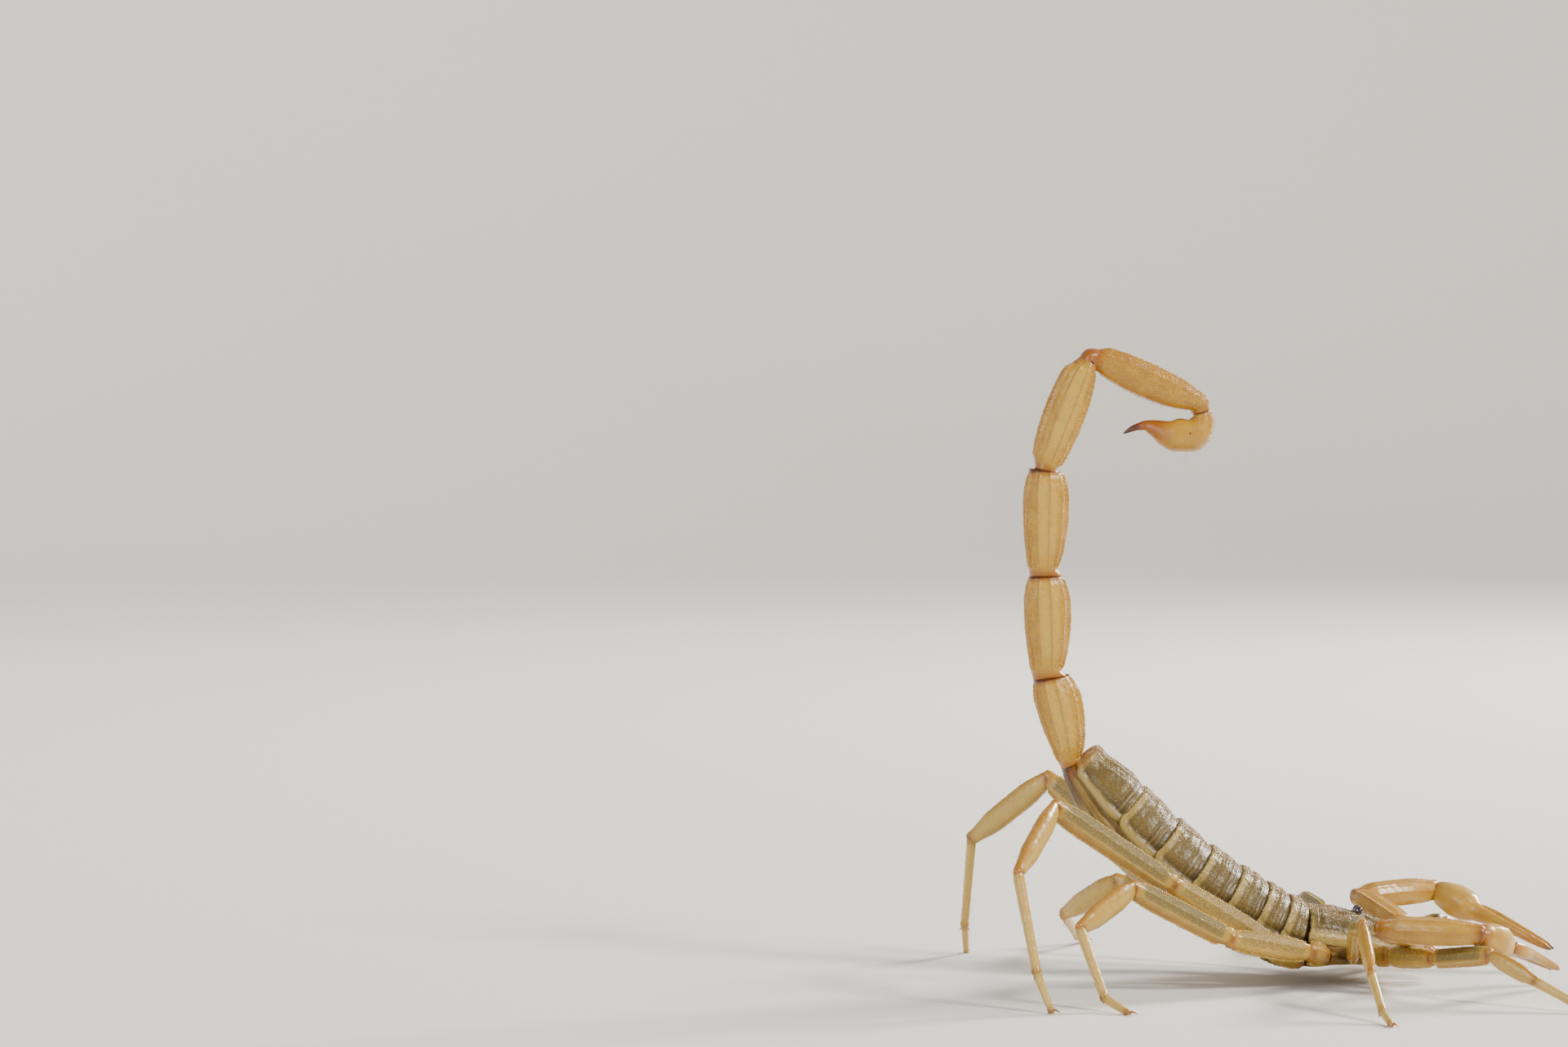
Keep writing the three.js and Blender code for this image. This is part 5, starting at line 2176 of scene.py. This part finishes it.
        flask = Tube(
            curled(self.bulb, 2.1), around=128, step=0.07, start_depth=0.15, end=Cap.FLAT,
            relief=lambda g: 0.02 * ripple(g.points, 1.4, 51),
            keels=(
                Keel(((0.16, 178), (0.5, 178)), 0.04, 0.2, 0.05, False),
                Keel(((0.12, 140), (0.5, 128)), 0.03, 0.15, 0.04),
            ),
            marks={
                "dark": lambda g: 0.5 * fade(g.start, 0.0, 0.3),
                "joint": joint,
                "pale": lambda g: 0.3 * bump(g.share, 0.42, 0.2),
                "grain": lambda g: 0.9 * ramp(g.share, 0.04, 0.1) * fade(g.share, 0.2, 0.42),
                "hair": lambda g: 0.5 * ramp(g.share, 0.1, 0.2) * (1 - 0.6 * ramp(g.share, 0.6, 0.8)),
            },
        )
        tubes = [flask, *self.studs(np.array(self.pore_at), self.pore)]
        bulb = Skin("venom_bulb", Slot.TAIL, TAIL_SKIN, ("telson_bulb",), tubes)
        bulb.build()
        bulb.grow(Growth(0.09, 0.24, 0.24, bristle=1.0, bristle_spacing=0.75, seed=71), TAIL_GRAIN)
        needle = Tube(
            curled(self.sting, 2.1), around=48, step=0.06, start_depth=0.05, end_depth=0.08,
            marks={"joint": lambda g: fade(g.share, 0.2, 0.55), "dark": lambda g: ramp(g.share, 0.6, 1.0)},
        )
        Skin("sting", Slot.STING, STING_SKIN, ("telson_sting",), [needle]).build()


# ---- Legs ----


@dataclass
class LegSizes:
    """What the legs of one pair share."""

    lengths: tuple[float, ...]  # femur, patella, tibia, basitarsus, telotarsus
    hip: tuple[float, float, float]
    girths: tuple[float, ...]  # half height of each at its thickest


LEG_SIZES = {
    1: LegSizes((8.0, 7.0, 5.2, 4.2, 2.5), (18.0, 4.5, 2.75), (0.86, 0.8, 0.74, 0.46, 0.36)),
    2: LegSizes((8.7, 7.9, 5.9, 4.8, 2.8), (15.7, 5.1, 2.85), (0.92, 0.86, 0.84, 0.48, 0.37)),
    3: LegSizes((10.3, 10.4, 8.5, 7.0, 3.4), (13.1, 5.3, 2.9), (1.02, 0.96, 1.04, 0.52, 0.39)),
    4: LegSizes((12.7, 13.2, 10.5, 8.8, 3.9), (9.4, 5.9, 3.05), (1.12, 1.02, 1.12, 0.54, 0.4)),
}
# Degrees outwards and of rise of each length. The basitarsus has no rise: the floor decides it.
LEG_POSES = {
    (Side.RIGHT, 1): ((60, 52, 44, 40, 38), (4, 8, -22, None, -13)),
    (Side.RIGHT, 2): ((96, 93, 88, 84, 82), (24, 6, -38, None, -16)),
    (Side.RIGHT, 3): ((154, 165, 130, 62, 56), (11, 27.5, -20, None, -16)),
    (Side.RIGHT, 4): ((163.5, 167, 114, 52, 58), (31, 33.2, -28.5, None, -55)),
    (Side.LEFT, 1): ((57, 47, 50, 46, 44), (3, 4, -20, None, -13)),
    (Side.LEFT, 2): ((92, 98, 108, 112, 112), (13, 3, -26, None, -15)),
    (Side.LEFT, 3): ((146, 155, 128, 74, 70), (7, 19.5, -27, None, -14)),
    (Side.LEFT, 4): ((170, 160, 145, 104, 84), (30.5, 38.5, -36, None, -48)),
}


@dataclass(frozen=True)
class LegPart:
    """What one length of a leg looks like, in shares of its girth and in marks."""

    flatness: float
    power: float
    sizes: Rows  # share along it, share of its girth
    rough: float = 0.0
    dust: float = 0.0
    hair: float = 0.3
    pale: float = 0.0
    flank: tuple[float, float, float] = (0.0, 90.0, 30.0)  # a paler band: strength, middle, width in degrees


LEG_PARTS = (
    LegPart(
        0.62, 2.5, ((0, 0.66), (0.12, 0.86), (0.35, 1.02), (0.75, 0.94), (0.93, 0.8), (1, 0.76)),
        rough=0.9, dust=0.72, hair=0.12, flank=(0.25, 90, 30),
    ),
    LegPart(
        0.64, 2.6, ((0, 0.62), (0.05, 0.76), (0.14, 0.98), (0.5, 1.02), (0.8, 1.0), (0.94, 0.84), (1, 0.76)),
        rough=0.6, dust=0.95, hair=0.14,
    ),
    LegPart(
        0.66, 2.3, ((0, 0.62), (0.06, 0.74), (0.3, 1.0), (0.68, 0.97), (0.92, 0.66), (1, 0.6)),
        hair=0.25, flank=(0.5, 100, 40),
    ),
    LegPart(
        0.85, 2.2, ((0, 0.92), (0.05, 0.98), (0.3, 0.94), (0.7, 0.86), (0.93, 0.84), (1, 0.88)),
        hair=0.55, pale=0.7,
    ),
    LegPart(0.9, 2.2, ((0, 0.9), (0.06, 0.98), (0.4, 0.92), (0.8, 0.8), (1, 0.7)), hair=0.7, pale=0.7),
)
HIP_SIZES = ((0, 0.78), (0.3, 0.95), (0.7, 1.0), (1, 0.84))  # the femur's first length, up to its knuckle


@dataclass
class Leg:
    """One walking leg, from its trochanter to its two claws."""

    number: int
    side: Side
    foot_axis: float = 0.17  # height of the foot's axis over the floor at its end
    claw: tuple[float, float] = (0.98, 0.34)  # how far a claw reaches ahead and aside
    lobe: Rows = ((0, 0.2, 0.26, 0.3), (0.5, 0.56, 0.42, 0.4), (1, 0.26, 0.28, 0.3))

    def __post_init__(self) -> None:
        """Work out the leg's joints."""
        self.sizes = LEG_SIZES[self.number]
        self.big = self.number >= 3
        out, rise = LEG_POSES[self.side, self.number]
        x, y, z = self.sizes.hip
        self.joints = [np.array([x, self.side.value * y, z])]
        self.ways = []
        for i, length in enumerate(self.sizes.lengths):
            tilt = rise[i]
            if tilt is None:
                toes = self.sizes.lengths[4] * math.sin(-math.radians(rise[4]))
                fall = self.joints[-1][2] - toes - self.foot_axis
                tilt = -math.degrees(math.asin(min(0.98, fall / length)))
            self.ways.append(heading(out[i], tilt, self.side.value))
            self.joints.append(self.joints[-1] + self.ways[-1] * length)

    def root(self) -> Array:
        """Where the leg leaves its coxa."""
        out, rise, inward = (40, -18, 1.9) if self.number == 4 else (90, -12, 0.3)
        return self.joints[0] + heading(out, rise, -self.side.value) * inward

    def _keels(self, part: int) -> tuple[Keel, ...]:
        """List the keels of one length, by its number from the femur's 0.

        Args:
            part: The length's number.

        Returns:
            Its keels.
        """
        bead = 0.1 if self.big else 0.07
        if part == 2:
            shin = ((10, 0.14, 0.0), (165, 0.12, 0.03))
            return tuple(Keel(((0.1, turn), (0.9, turn)), 0.03, width, grain) for turn, width, grain in shin)
        keels = (
            Keel(((0.1, 16), (0.93, 12)), 0.07, 0.13, bead),
            Keel(((0.1, 164), (0.93, 168)), 0.07, 0.13, bead * 1.3),
            Keel(((0.12, 78), (0.9, 70)), 0.05, 0.12, bead * 0.6),
            Keel(((0.08, 112), (0.92, 106)), 0.09, 0.14, bead * 0.9),
        )
        return keels[: (3, 4, 0, 0, 0)[part]]

    def _length(
        self, part: int, start: Array, stop: Array, before: Array, after: Array, sizes: Rows | None = None
    ) -> Tube:
        """Shape one length.

        Args:
            part: 0 femur to 4 telotarsus.
            start: Its first joint.
            stop: Its last joint.
            before: The way its forerunner runs.
            after: The way its follower runs.
            sizes: (share, share of its girth) along it, where it isn't the part's own.

        Returns:
            Its tube.
        """
        kind, girth = LEG_PARTS[part], self.sizes.girths[part]
        rows = [(share, girth * size * kind.flatness, girth * size) for share, size in sizes or kind.sizes]
        rings = chain([start, stop], [rows], before, after, power=kind.power)
        rough = kind.rough * (1.0 if self.big else 0.5)
        strength, middle, width = kind.flank

        def pale(g: Grid) -> Array:
            """The patella is two-toned; the feet are palest."""
            if part == 1:
                return 0.3 * ramp(g.away, 104, 116)
            return kind.pale + strength * bump(g.away, middle, width)

        def joint(g: Grid) -> Array:
            """Orange at the joints, under the patella and along the outer edge of the shin."""
            ends = 0.75 * fade(g.start, -0.1, 0.8) + 0.85 * fade(g.end, -0.1, 0.9)
            edges = {1: 0.6 * ramp(g.away, 110, 140), 2: 0.7 * fade(g.away, 18, 62)}
            return np.clip(ends + edges.get(part, 0), 0, 1)

        def dark(g: Grid) -> Array:
            """Dusky sides of the joints."""
            ends = bump(g.end, 0.1, 0.2) + 0.6 * bump(g.start, 0.0, 0.2)
            return np.clip(0.65 * bump(g.away, 90, 24) * ends, 0, 1)

        def relief(g: Grid) -> Array:
            """A collar at the end, a hollow beside the top keel, and unevenness."""
            hollow = bump(g.away, 45, 16) * (part < 2) * ramp(g.share, 0.1, 0.25) * fade(g.share, 0.8, 0.95)
            return 0.014 * ripple(g.points, 0.9, part + 1) + 0.035 * bump(g.end, 0.18, 0.16) - 0.05 * hollow

        def grain(g: Grid) -> Array:
            """Granules keep off the joints and thin out underneath."""
            ends = ramp(g.share, 0.06, 0.15) * fade(g.share, 0.88, 0.96)
            return rough * ends * (1 - 0.5 * ramp(g.away, 104, 116))

        def dust(g: Grid) -> Array:
            """The upper face is dusky."""
            return kind.dust * fade(g.away, 98, 110) * ramp(g.start, 0.3, 1.2) * ramp(g.end, 0.3, 1.2)

        def hair(g: Grid) -> Array:
            """Bristles keep off the floor."""
            return kind.hair * ((g.points[..., 2] > 1.2) | (g.normals()[..., 2] > 0.6))

        return Tube(
            rings,
            around=56 if self.big else 40,
            step=0.13 if self.big else 0.16,
            start_depth=float(rings[0, 10] * 0.75),
            end_depth=float(rings[-1, 10] * 0.55),
            keels=self._keels(part),
            relief=relief,
            marks={"pale": pale, "joint": joint, "dark": dark, "grain": grain, "dust": dust, "hair": hair},
        )

    @staticmethod
    def _thorn(root: Array, tip: Array, bend: Array, girth: float, stain: float) -> Tube:
        """Shape a curved spine or claw.

        Args:
            root: Where it starts.
            tip: Where it ends.
            bend: How its middle is pushed aside.
            girth: Its half width at the root.
            stain: How dark its tip is.

        Returns:
            Its tube.
        """
        t = np.linspace(0, 1, 6)
        line = root + (tip - root) * t[:, None] + bend * (4 * t * (1 - t))[:, None]
        ways = unit(np.gradient(line, axis=0))
        thick = girth * (1 - 0.9 * t**1.3)
        rings = [ring(p, way, UP, r * 0.75, r, power=2.0) for p, way, r in zip(line, ways, thick)]
        marks = {"joint": lambda g: 0.8 - 0.3 * g.share, "dark": lambda g: stain * ramp(g.share, 0.25, 0.9)}
        return Tube(np.array(rings), 14, 0.09, start_depth=girth * 0.6, end_depth=girth * 0.15, marks=marks)

    def skins(self) -> tuple[Skin, Skin]:
        """Shape the whole leg.

        Returns:
            The leg's skin and its two claws.
        """
        j, w = self.joints, self.ways
        knuckle, root = j[0] + w[0] * 1.6, self.root()
        hip = unit(knuckle - root)
        tubes = [
            self._length(0, root, knuckle, hip, w[0], HIP_SIZES),
            self._length(0, knuckle, j[1], hip, w[1]),
            *(self._length(k, j[k], j[k + 1], w[k - 1], w[min(k + 1, 4)]) for k in (1, 2, 3, 4)),
        ]
        flat = unit(w[4] * (1, 1, 0))
        cross = np.cross(UP, flat)
        reach, spread = self.claw
        claws: list[Tube] = []
        for sign in (-1, 1):
            tip = j[5] + flat * reach + cross * sign * spread
            tip[2] = 0.06
            claws.append(self._thorn(j[5] - w[4] * 0.15 + cross * sign * 0.1, tip, UP * 0.16, 0.13, 0.75))
            spur = j[4] + w[4] * 0.55 - UP * 0.3 + cross * sign * 0.5
            spur[2] = max(spur[2], 0.1)
            tubes.append(self._thorn(j[4] + cross * sign * 0.22 - UP * 0.1, spur, UP * 0.0, 0.1, 0.9))
        if self.big:  # the spur of the shin, and the pale lobe over the knee
            down = unit(-UP + 0.6 * w[3])
            tubes.append(self._thorn(j[3] - w[2] * 0.1, j[3] + down * 1.0, w[3] * 0.1, 0.13, 0.8))
            high = j[1] + UP * self.sizes.girths[0] * 0.62
            swell = chain([high - w[0] * 0.5, high + w[1] * 0.5], [self.lobe], power=2.0)
            tubes.append(Tube(swell, 32, 0.08, start_depth=0.12, end_depth=0.12, marks={"pale": 0.95}))
        which = f"{self.side.label}_{self.number}"
        nodes = tuple(f"leg_{which}_{part}" for part in ("femur", "patella", "tarsus"))
        return (
            Skin(f"leg_{which}", Slot.LEGS, LEG_SKIN, nodes, tubes, floor=True),
            Skin(f"claws_{which}", Slot.LEGS, LEG_SKIN, (), claws, floor=True),
        )

    def build(self) -> None:
        """Build and dress the leg."""
        skin, claws = self.skins()
        skin.build()
        claws.build()
        seed = 80 + 2 * self.number + (self.side is Side.LEFT)
        bead_spacing, bristle = (0.22, 0.75) if self.big else (0.17, 0.6)
        skin.grow(Growth(0.055, 0.2, bead_spacing, bristle, bristle_spacing=0.6, seed=seed), LEG_GRAIN)


# ---- Arms and pincers ----


@dataclass
class Pedipalp:
    """One arm with its slender pincer."""

    side: Side
    lengths: tuple[float, ...] = (2.6, 8.0, 8.6, 5.4)
    finger_length: float = 8.4
    # Sections of the trochanter, femur and patella.
    arm_rows: tuple[Rows, ...] = (
        [(0, 0.75, 0.8), (0.5, 1.0, 1.05), (1, 0.85, 0.85)],
        [
            (0, 0.8, 0.75, 0.8), (0.06, 0.9, 0.84, 0.86), (0.15, 1.05, 0.95),
            (0.75, 1.15, 1.0), (0.94, 0.95, 0.84), (1, 0.88, 0.8),
        ],
        [
            (0, 0.75, 0.7, 0.75), (0.07, 0.9, 0.86), (0.2, 1.2, 1.15, 1.1),
            (0.6, 1.35, 1.2), (0.92, 1.0, 0.95), (1, 0.9, 0.85),
        ],
    )

    def __post_init__(self) -> None:
        """Work out the arm's joints."""
        out, rise = {
            Side.RIGHT: ((64, 122, 20, -50), (36, 12, -1, -18)),
            Side.LEFT: ((60, 114, 26, -42), (36, 14, 2, -20)),
        }[self.side]
        self.ways = [heading(o, r, self.side.value) for o, r in zip(out, rise)]
        self.joints = [np.array([20.7, self.side.value * 3.85, 2.9])]
        for way, length in zip(self.ways, self.lengths):
            self.joints.append(self.joints[-1] + way * length)

    def arm(self) -> Skin:
        """Shape the trochanter, femur and patella.

        Returns:
            Their skin.
        """
        marks = {
            "joint": lambda g: np.clip(0.85 * fade(g.start, 0.0, 0.9) + 0.85 * fade(g.end, 0.0, 0.8), 0, 1),
            "dark": lambda g: 0.6 * bump(g.end, 0.1, 0.14) * bump(g.away, 90, 40),
            "pale": lambda g: 0.4 * bump(g.away, 64, 14) + 0.4 * bump(g.away, 114, 14),
            "grain": lambda g: 0.35 * ramp(g.share, 0.08, 0.16) * fade(g.share, 0.88, 0.95),
            "hair": 0.16,
        }
        tubes = []
        for part, rows in enumerate(self.arm_rows):
            before = self.ways[max(part - 1, 0)]
            rings = chain(self.joints[part : part + 2], [rows], before, self.ways[part + 1], power=2.7)
            turns = (38, 88, 140) if part else ()
            keels = tuple(Keel(((0.09, t), (0.5, t - 2), (0.93, t)), 0.1, 0.15, 0.075) for t in turns)
            if part:
                keels += (Keel(((0.12, 0), (0.9, 0)), 0.07, 0.14, 0.06, False),)
            tubes.append(
                Tube(
                    rings, around=64, step=0.12, start_depth=0.55, end_depth=0.4, keels=keels, marks=marks,
                    relief=lambda g: 0.02 * ripple(g.points, 0.9, 7) + 0.05 * bump(g.end, 0.2, 0.18),
                )
            )
        nodes = tuple(f"pedipalp_{self.side.label}_{part}" for part in ("trochanter", "femur", "patella"))
        return Skin(f"arm_{self.side.label}", Slot.PINCERS, PALP_SKIN, nodes, tubes)

    def pincer(self) -> tuple[Skin, Skin]:
        """Shape the hand with its fixed finger, and the movable finger.

        Returns:
            Both skins.
        """
        wrist, knuckle = self.joints[3], self.joints[4]
        way, side = self.ways[3], self.side.value
        inner = unit(np.cross(way, UP)) * side
        lift = unit(np.cross(inner, way)) * side
        tip = knuckle + way * self.finger_length

        def point(share: float, spread: float, bow: float) -> Array:
            """A point of a finger: its share of the length, how far inwards it lies, and how high it bows."""
            return knuckle + (tip - knuckle) * share + inner * spread + lift * bow * math.sin(math.pi * share)

        bends = ((0, 0.4, 0), (0.35, 0.85, 0.3), (0.7, 0.8, 0.3), (1, 0.08, 0))
        hand = chain(
            [wrist, (wrist + knuckle) / 2, *(point(*bend) for bend in bends)],
            [
                [(0, 0.7, 0.7), (0.3, 1.15, 1.15), (1, 1.55, 1.5)],
                [(0.5, 1.42, 1.4), (1, 0.7, 0.85)],
                [(1, 0.44, 0.55)],
                [(1, 0.35, 0.42)],
                [(0.8, 0.25, 0.27), (1, 0.1, 0.12)],
            ],
            before=self.ways[2],
            power=2.2,
        )
        bends = ((-0.05, -0.8, 0), (0.1, -0.86, 0.1), (0.35, -0.55, 0.2), (0.7, -0.32, 0.2), (0.99, -0.5, 0))
        finger = chain(
            [point(*bend) for bend in bends],
            [
                [(0, 0.38, 0.55), (1, 0.46, 0.62)],
                [(1, 0.42, 0.5)],
                [(1, 0.34, 0.4)],
                [(0.8, 0.24, 0.27), (1, 0.09, 0.11)],
            ],
            power=2.1,
        )
        facing = 90 * side

        def joint(g: Grid) -> Array:
            """Brown at the wrist and along the fingers."""
            return np.clip(0.8 * fade(g.start, 0.0, 0.9) + 0.55 * ramp(g.share, 0.55, 0.95), 0, 1)

        def palm_dark(g: Grid) -> Array:
            """The fixed finger's tip and biting edge."""
            return 0.75 * ramp(g.share, 0.93, 1.0) + 0.5 * bump(g.turn, facing, 14) * ramp(g.share, 0.45, 0.5)

        def blade_dark(g: Grid) -> Array:
            """The movable finger's tip and biting edge."""
            return 0.75 * ramp(g.share, 0.92, 1.0) + 0.5 * bump(g.turn, -facing, 14)

        common = {"joint": joint, "hair": lambda g: 0.2 + 0.35 * ramp(g.share, 0.35, 0.5)}
        palm = Tube(
            hand, around=72, step=0.1, start_depth=0.45, end_depth=0.08,
            keels=(
                Keel(((0.46, facing), (0.7, facing), (0.97, facing)), 0.03, 0.1, 0.055, False),
                Keel(((0.08, 40), (0.38, 34)), 0.05, 0.16, 0.04),
                Keel(((0.08, 130), (0.36, 138)), 0.05, 0.16, 0.04),
            ),
            relief=lambda g: 0.02 * ripple(g.points, 1.1, 8),
            marks=common | {
                "pale": lambda g: 0.5 * bump(g.share, 0.2, 0.15),
                "dark": palm_dark,
                "grain": lambda g: 0.2 * bump(g.share, 0.2, 0.14),
            },
        )
        blade = Tube(
            finger, around=48, step=0.09, start_depth=0.3, end_depth=0.07,
            keels=(Keel(((0.1, -facing), (0.5, -facing), (0.96, -facing)), 0.03, 0.1, 0.055, False),),
            marks=common | {"dark": blade_dark},
        )
        name, node = self.side.label, f"pedipalp_{self.side.label}"
        return (
            Skin(f"pincer_palm_{name}", Slot.PINCERS, PALP_SKIN, (node + "_hand",), [palm]),
            Skin(f"pincer_finger_{name}", Slot.PINCERS, PALP_SKIN, (node + "_finger",), [blade]),
        )

    def build(self) -> None:
        """Build and dress the arm."""
        for k, skin in enumerate((self.arm(), *self.pincer())):
            skin.build()
            step = 0.12 if k else 0.17
            skin.grow(Growth(0.05, 0.26, step, bristle=0.8, bristle_spacing=0.7, seed=100 + k), PALP_GRAIN)


# ---- Studio ----


@dataclass(frozen=True)
class Card(Finish):
    """The floor's pale matt card."""

    name: str = "pale_card"
    tone: Colour = (0.74, 0.72, 0.69)

    def paint(self, n: Nodes) -> dict:
        """Give the shader's inputs."""
        return {"Base Color": self.tone, "Roughness": 0.9}


@dataclass
class Studio:
    """A pale floor that sweeps up all round, soft lamps and the camera."""

    camera_at: tuple[float, float, float] = (-36.0, -400.0, 49.6)
    tilt: float = 1.085  # degrees down
    lens: float = 100.0
    target: tuple[float, float, float] = (0.0, 0.0, 22.0)  # what the lamps face
    # The floor, in metres: the flat's rings, and the sweep's reach and height.
    flat: tuple[float, float, int] = (0.2, 1.2, 6)
    sweep: tuple[float, float] = (0.9, 0.7)
    turns: int = 96
    # Name, place in animal millimetres, power, size and colour. Power is in watts and size is the side of a
    # square in metres, but for the window, a far light in watts to the square metre and radians.
    lamps: tuple = (
        ("window", (330, -260, 330), 4.2, 0.25, (1.0, 0.93, 0.82)),
        ("fill", (-700, -610, 370), 5.4, 0.6, (0.95, 0.97, 1.0)),
        ("rim", (600, 540, 440), 15.5, 0.24, (1.0, 0.94, 0.84)),
    )
    air: Colour = (0.9, 0.93, 1.0)
    air_strength: float = 0.35

    def floor(self) -> None:
        """Build the floor, a wide shallow bowl that is flat in its middle."""
        rise = np.linspace(0, math.pi / 2, 14)[1:]
        reach, height = self.sweep
        radii = np.concatenate([np.linspace(*self.flat), self.flat[1] + np.sin(rise) * reach])
        heights = np.concatenate([np.zeros(self.flat[2]), (1 - np.cos(rise)) * height])
        turns = np.linspace(0, 2 * math.pi, self.turns + 1)[:-1]
        points = [(r * math.cos(a), r * math.sin(a), h) for r, h in zip(radii, heights) for a in turns]
        n = self.turns
        faces = [(0, 1 + k, 1 + (k + 1) % n) for k in range(n)]
        for row in range(len(radii) - 1):
            a, b = 1 + row * n, 1 + (row + 1) * n
            faces += [(a + k, b + k, b + (k + 1) % n, a + (k + 1) % n) for k in range(n)]
        mesh = bpy.data.meshes.new("floor")
        mesh.from_pydata([(0.0, 0.0, 0.0), *points], [], faces)
        mesh.shade_smooth()
        mesh.materials.append(Card().material())
        link_object("floor", mesh)

    def lamp(self, name: str, place: tuple[float, ...], power: float, size: float, colour: Colour) -> None:
        """Add a soft lamp that faces the animal.

        Args:
            name: Its name.
            place: Where it hangs, in animal millimetres.
            power: Its strength.
            size: How wide it is.
            colour: Its light.
        """
        window = name == "window"
        light = bpy.data.lights.new(name, "SUN" if window else "AREA")
        light.energy, light.color = power, colour
        setattr(light, "angle" if window else "size", size)
        lamp = link_object(name, light)
        at, aim = to_row(np.array(place)), to_row(np.array(self.target))
        lamp.location = at
        lamp.rotation_mode = "QUATERNION"
        lamp.rotation_quaternion = Vector(aim - at).to_track_quat("-Z", "Y")

    def build(self) -> None:
        """Set the floor, the lamps, the air light and the camera."""
        self.floor()
        for lamp in self.lamps:
            self.lamp(*lamp)
        world = bpy.data.worlds.new("air")
        world.use_nodes = True
        air = {"Color": self.air, "Strength": self.air_strength}
        Nodes(world.node_tree).feed(world.node_tree.nodes["Background"], air)
        bpy.context.scene.world = world
        lens = bpy.data.cameras.new("camera")
        lens.lens, lens.sensor_width, lens.clip_start, lens.clip_end = self.lens, 36.0, 0.01, 20.0
        camera = link_object("camera", lens)
        camera.location = to_row(np.array(self.camera_at))
        camera.rotation_euler = (math.radians(90 - self.tilt), 0, 0)
        bpy.context.scene.camera = camera


def main() -> None:
    """Build the animal from tail to pincers, then the studio round it."""
    logging.basicConfig(level=logging.INFO, format="%(name)s: %(message)s")
    Abdomen().build()
    Tail().build()
    legs = [Leg(number, side) for side in Side for number in (1, 2, 3, 4)]
    Head().build(legs)
    for leg in legs:
        leg.build()
    for side in Side:
        Pedipalp(side).build()
    Studio().build()


if __name__ == "__main__":
    main()
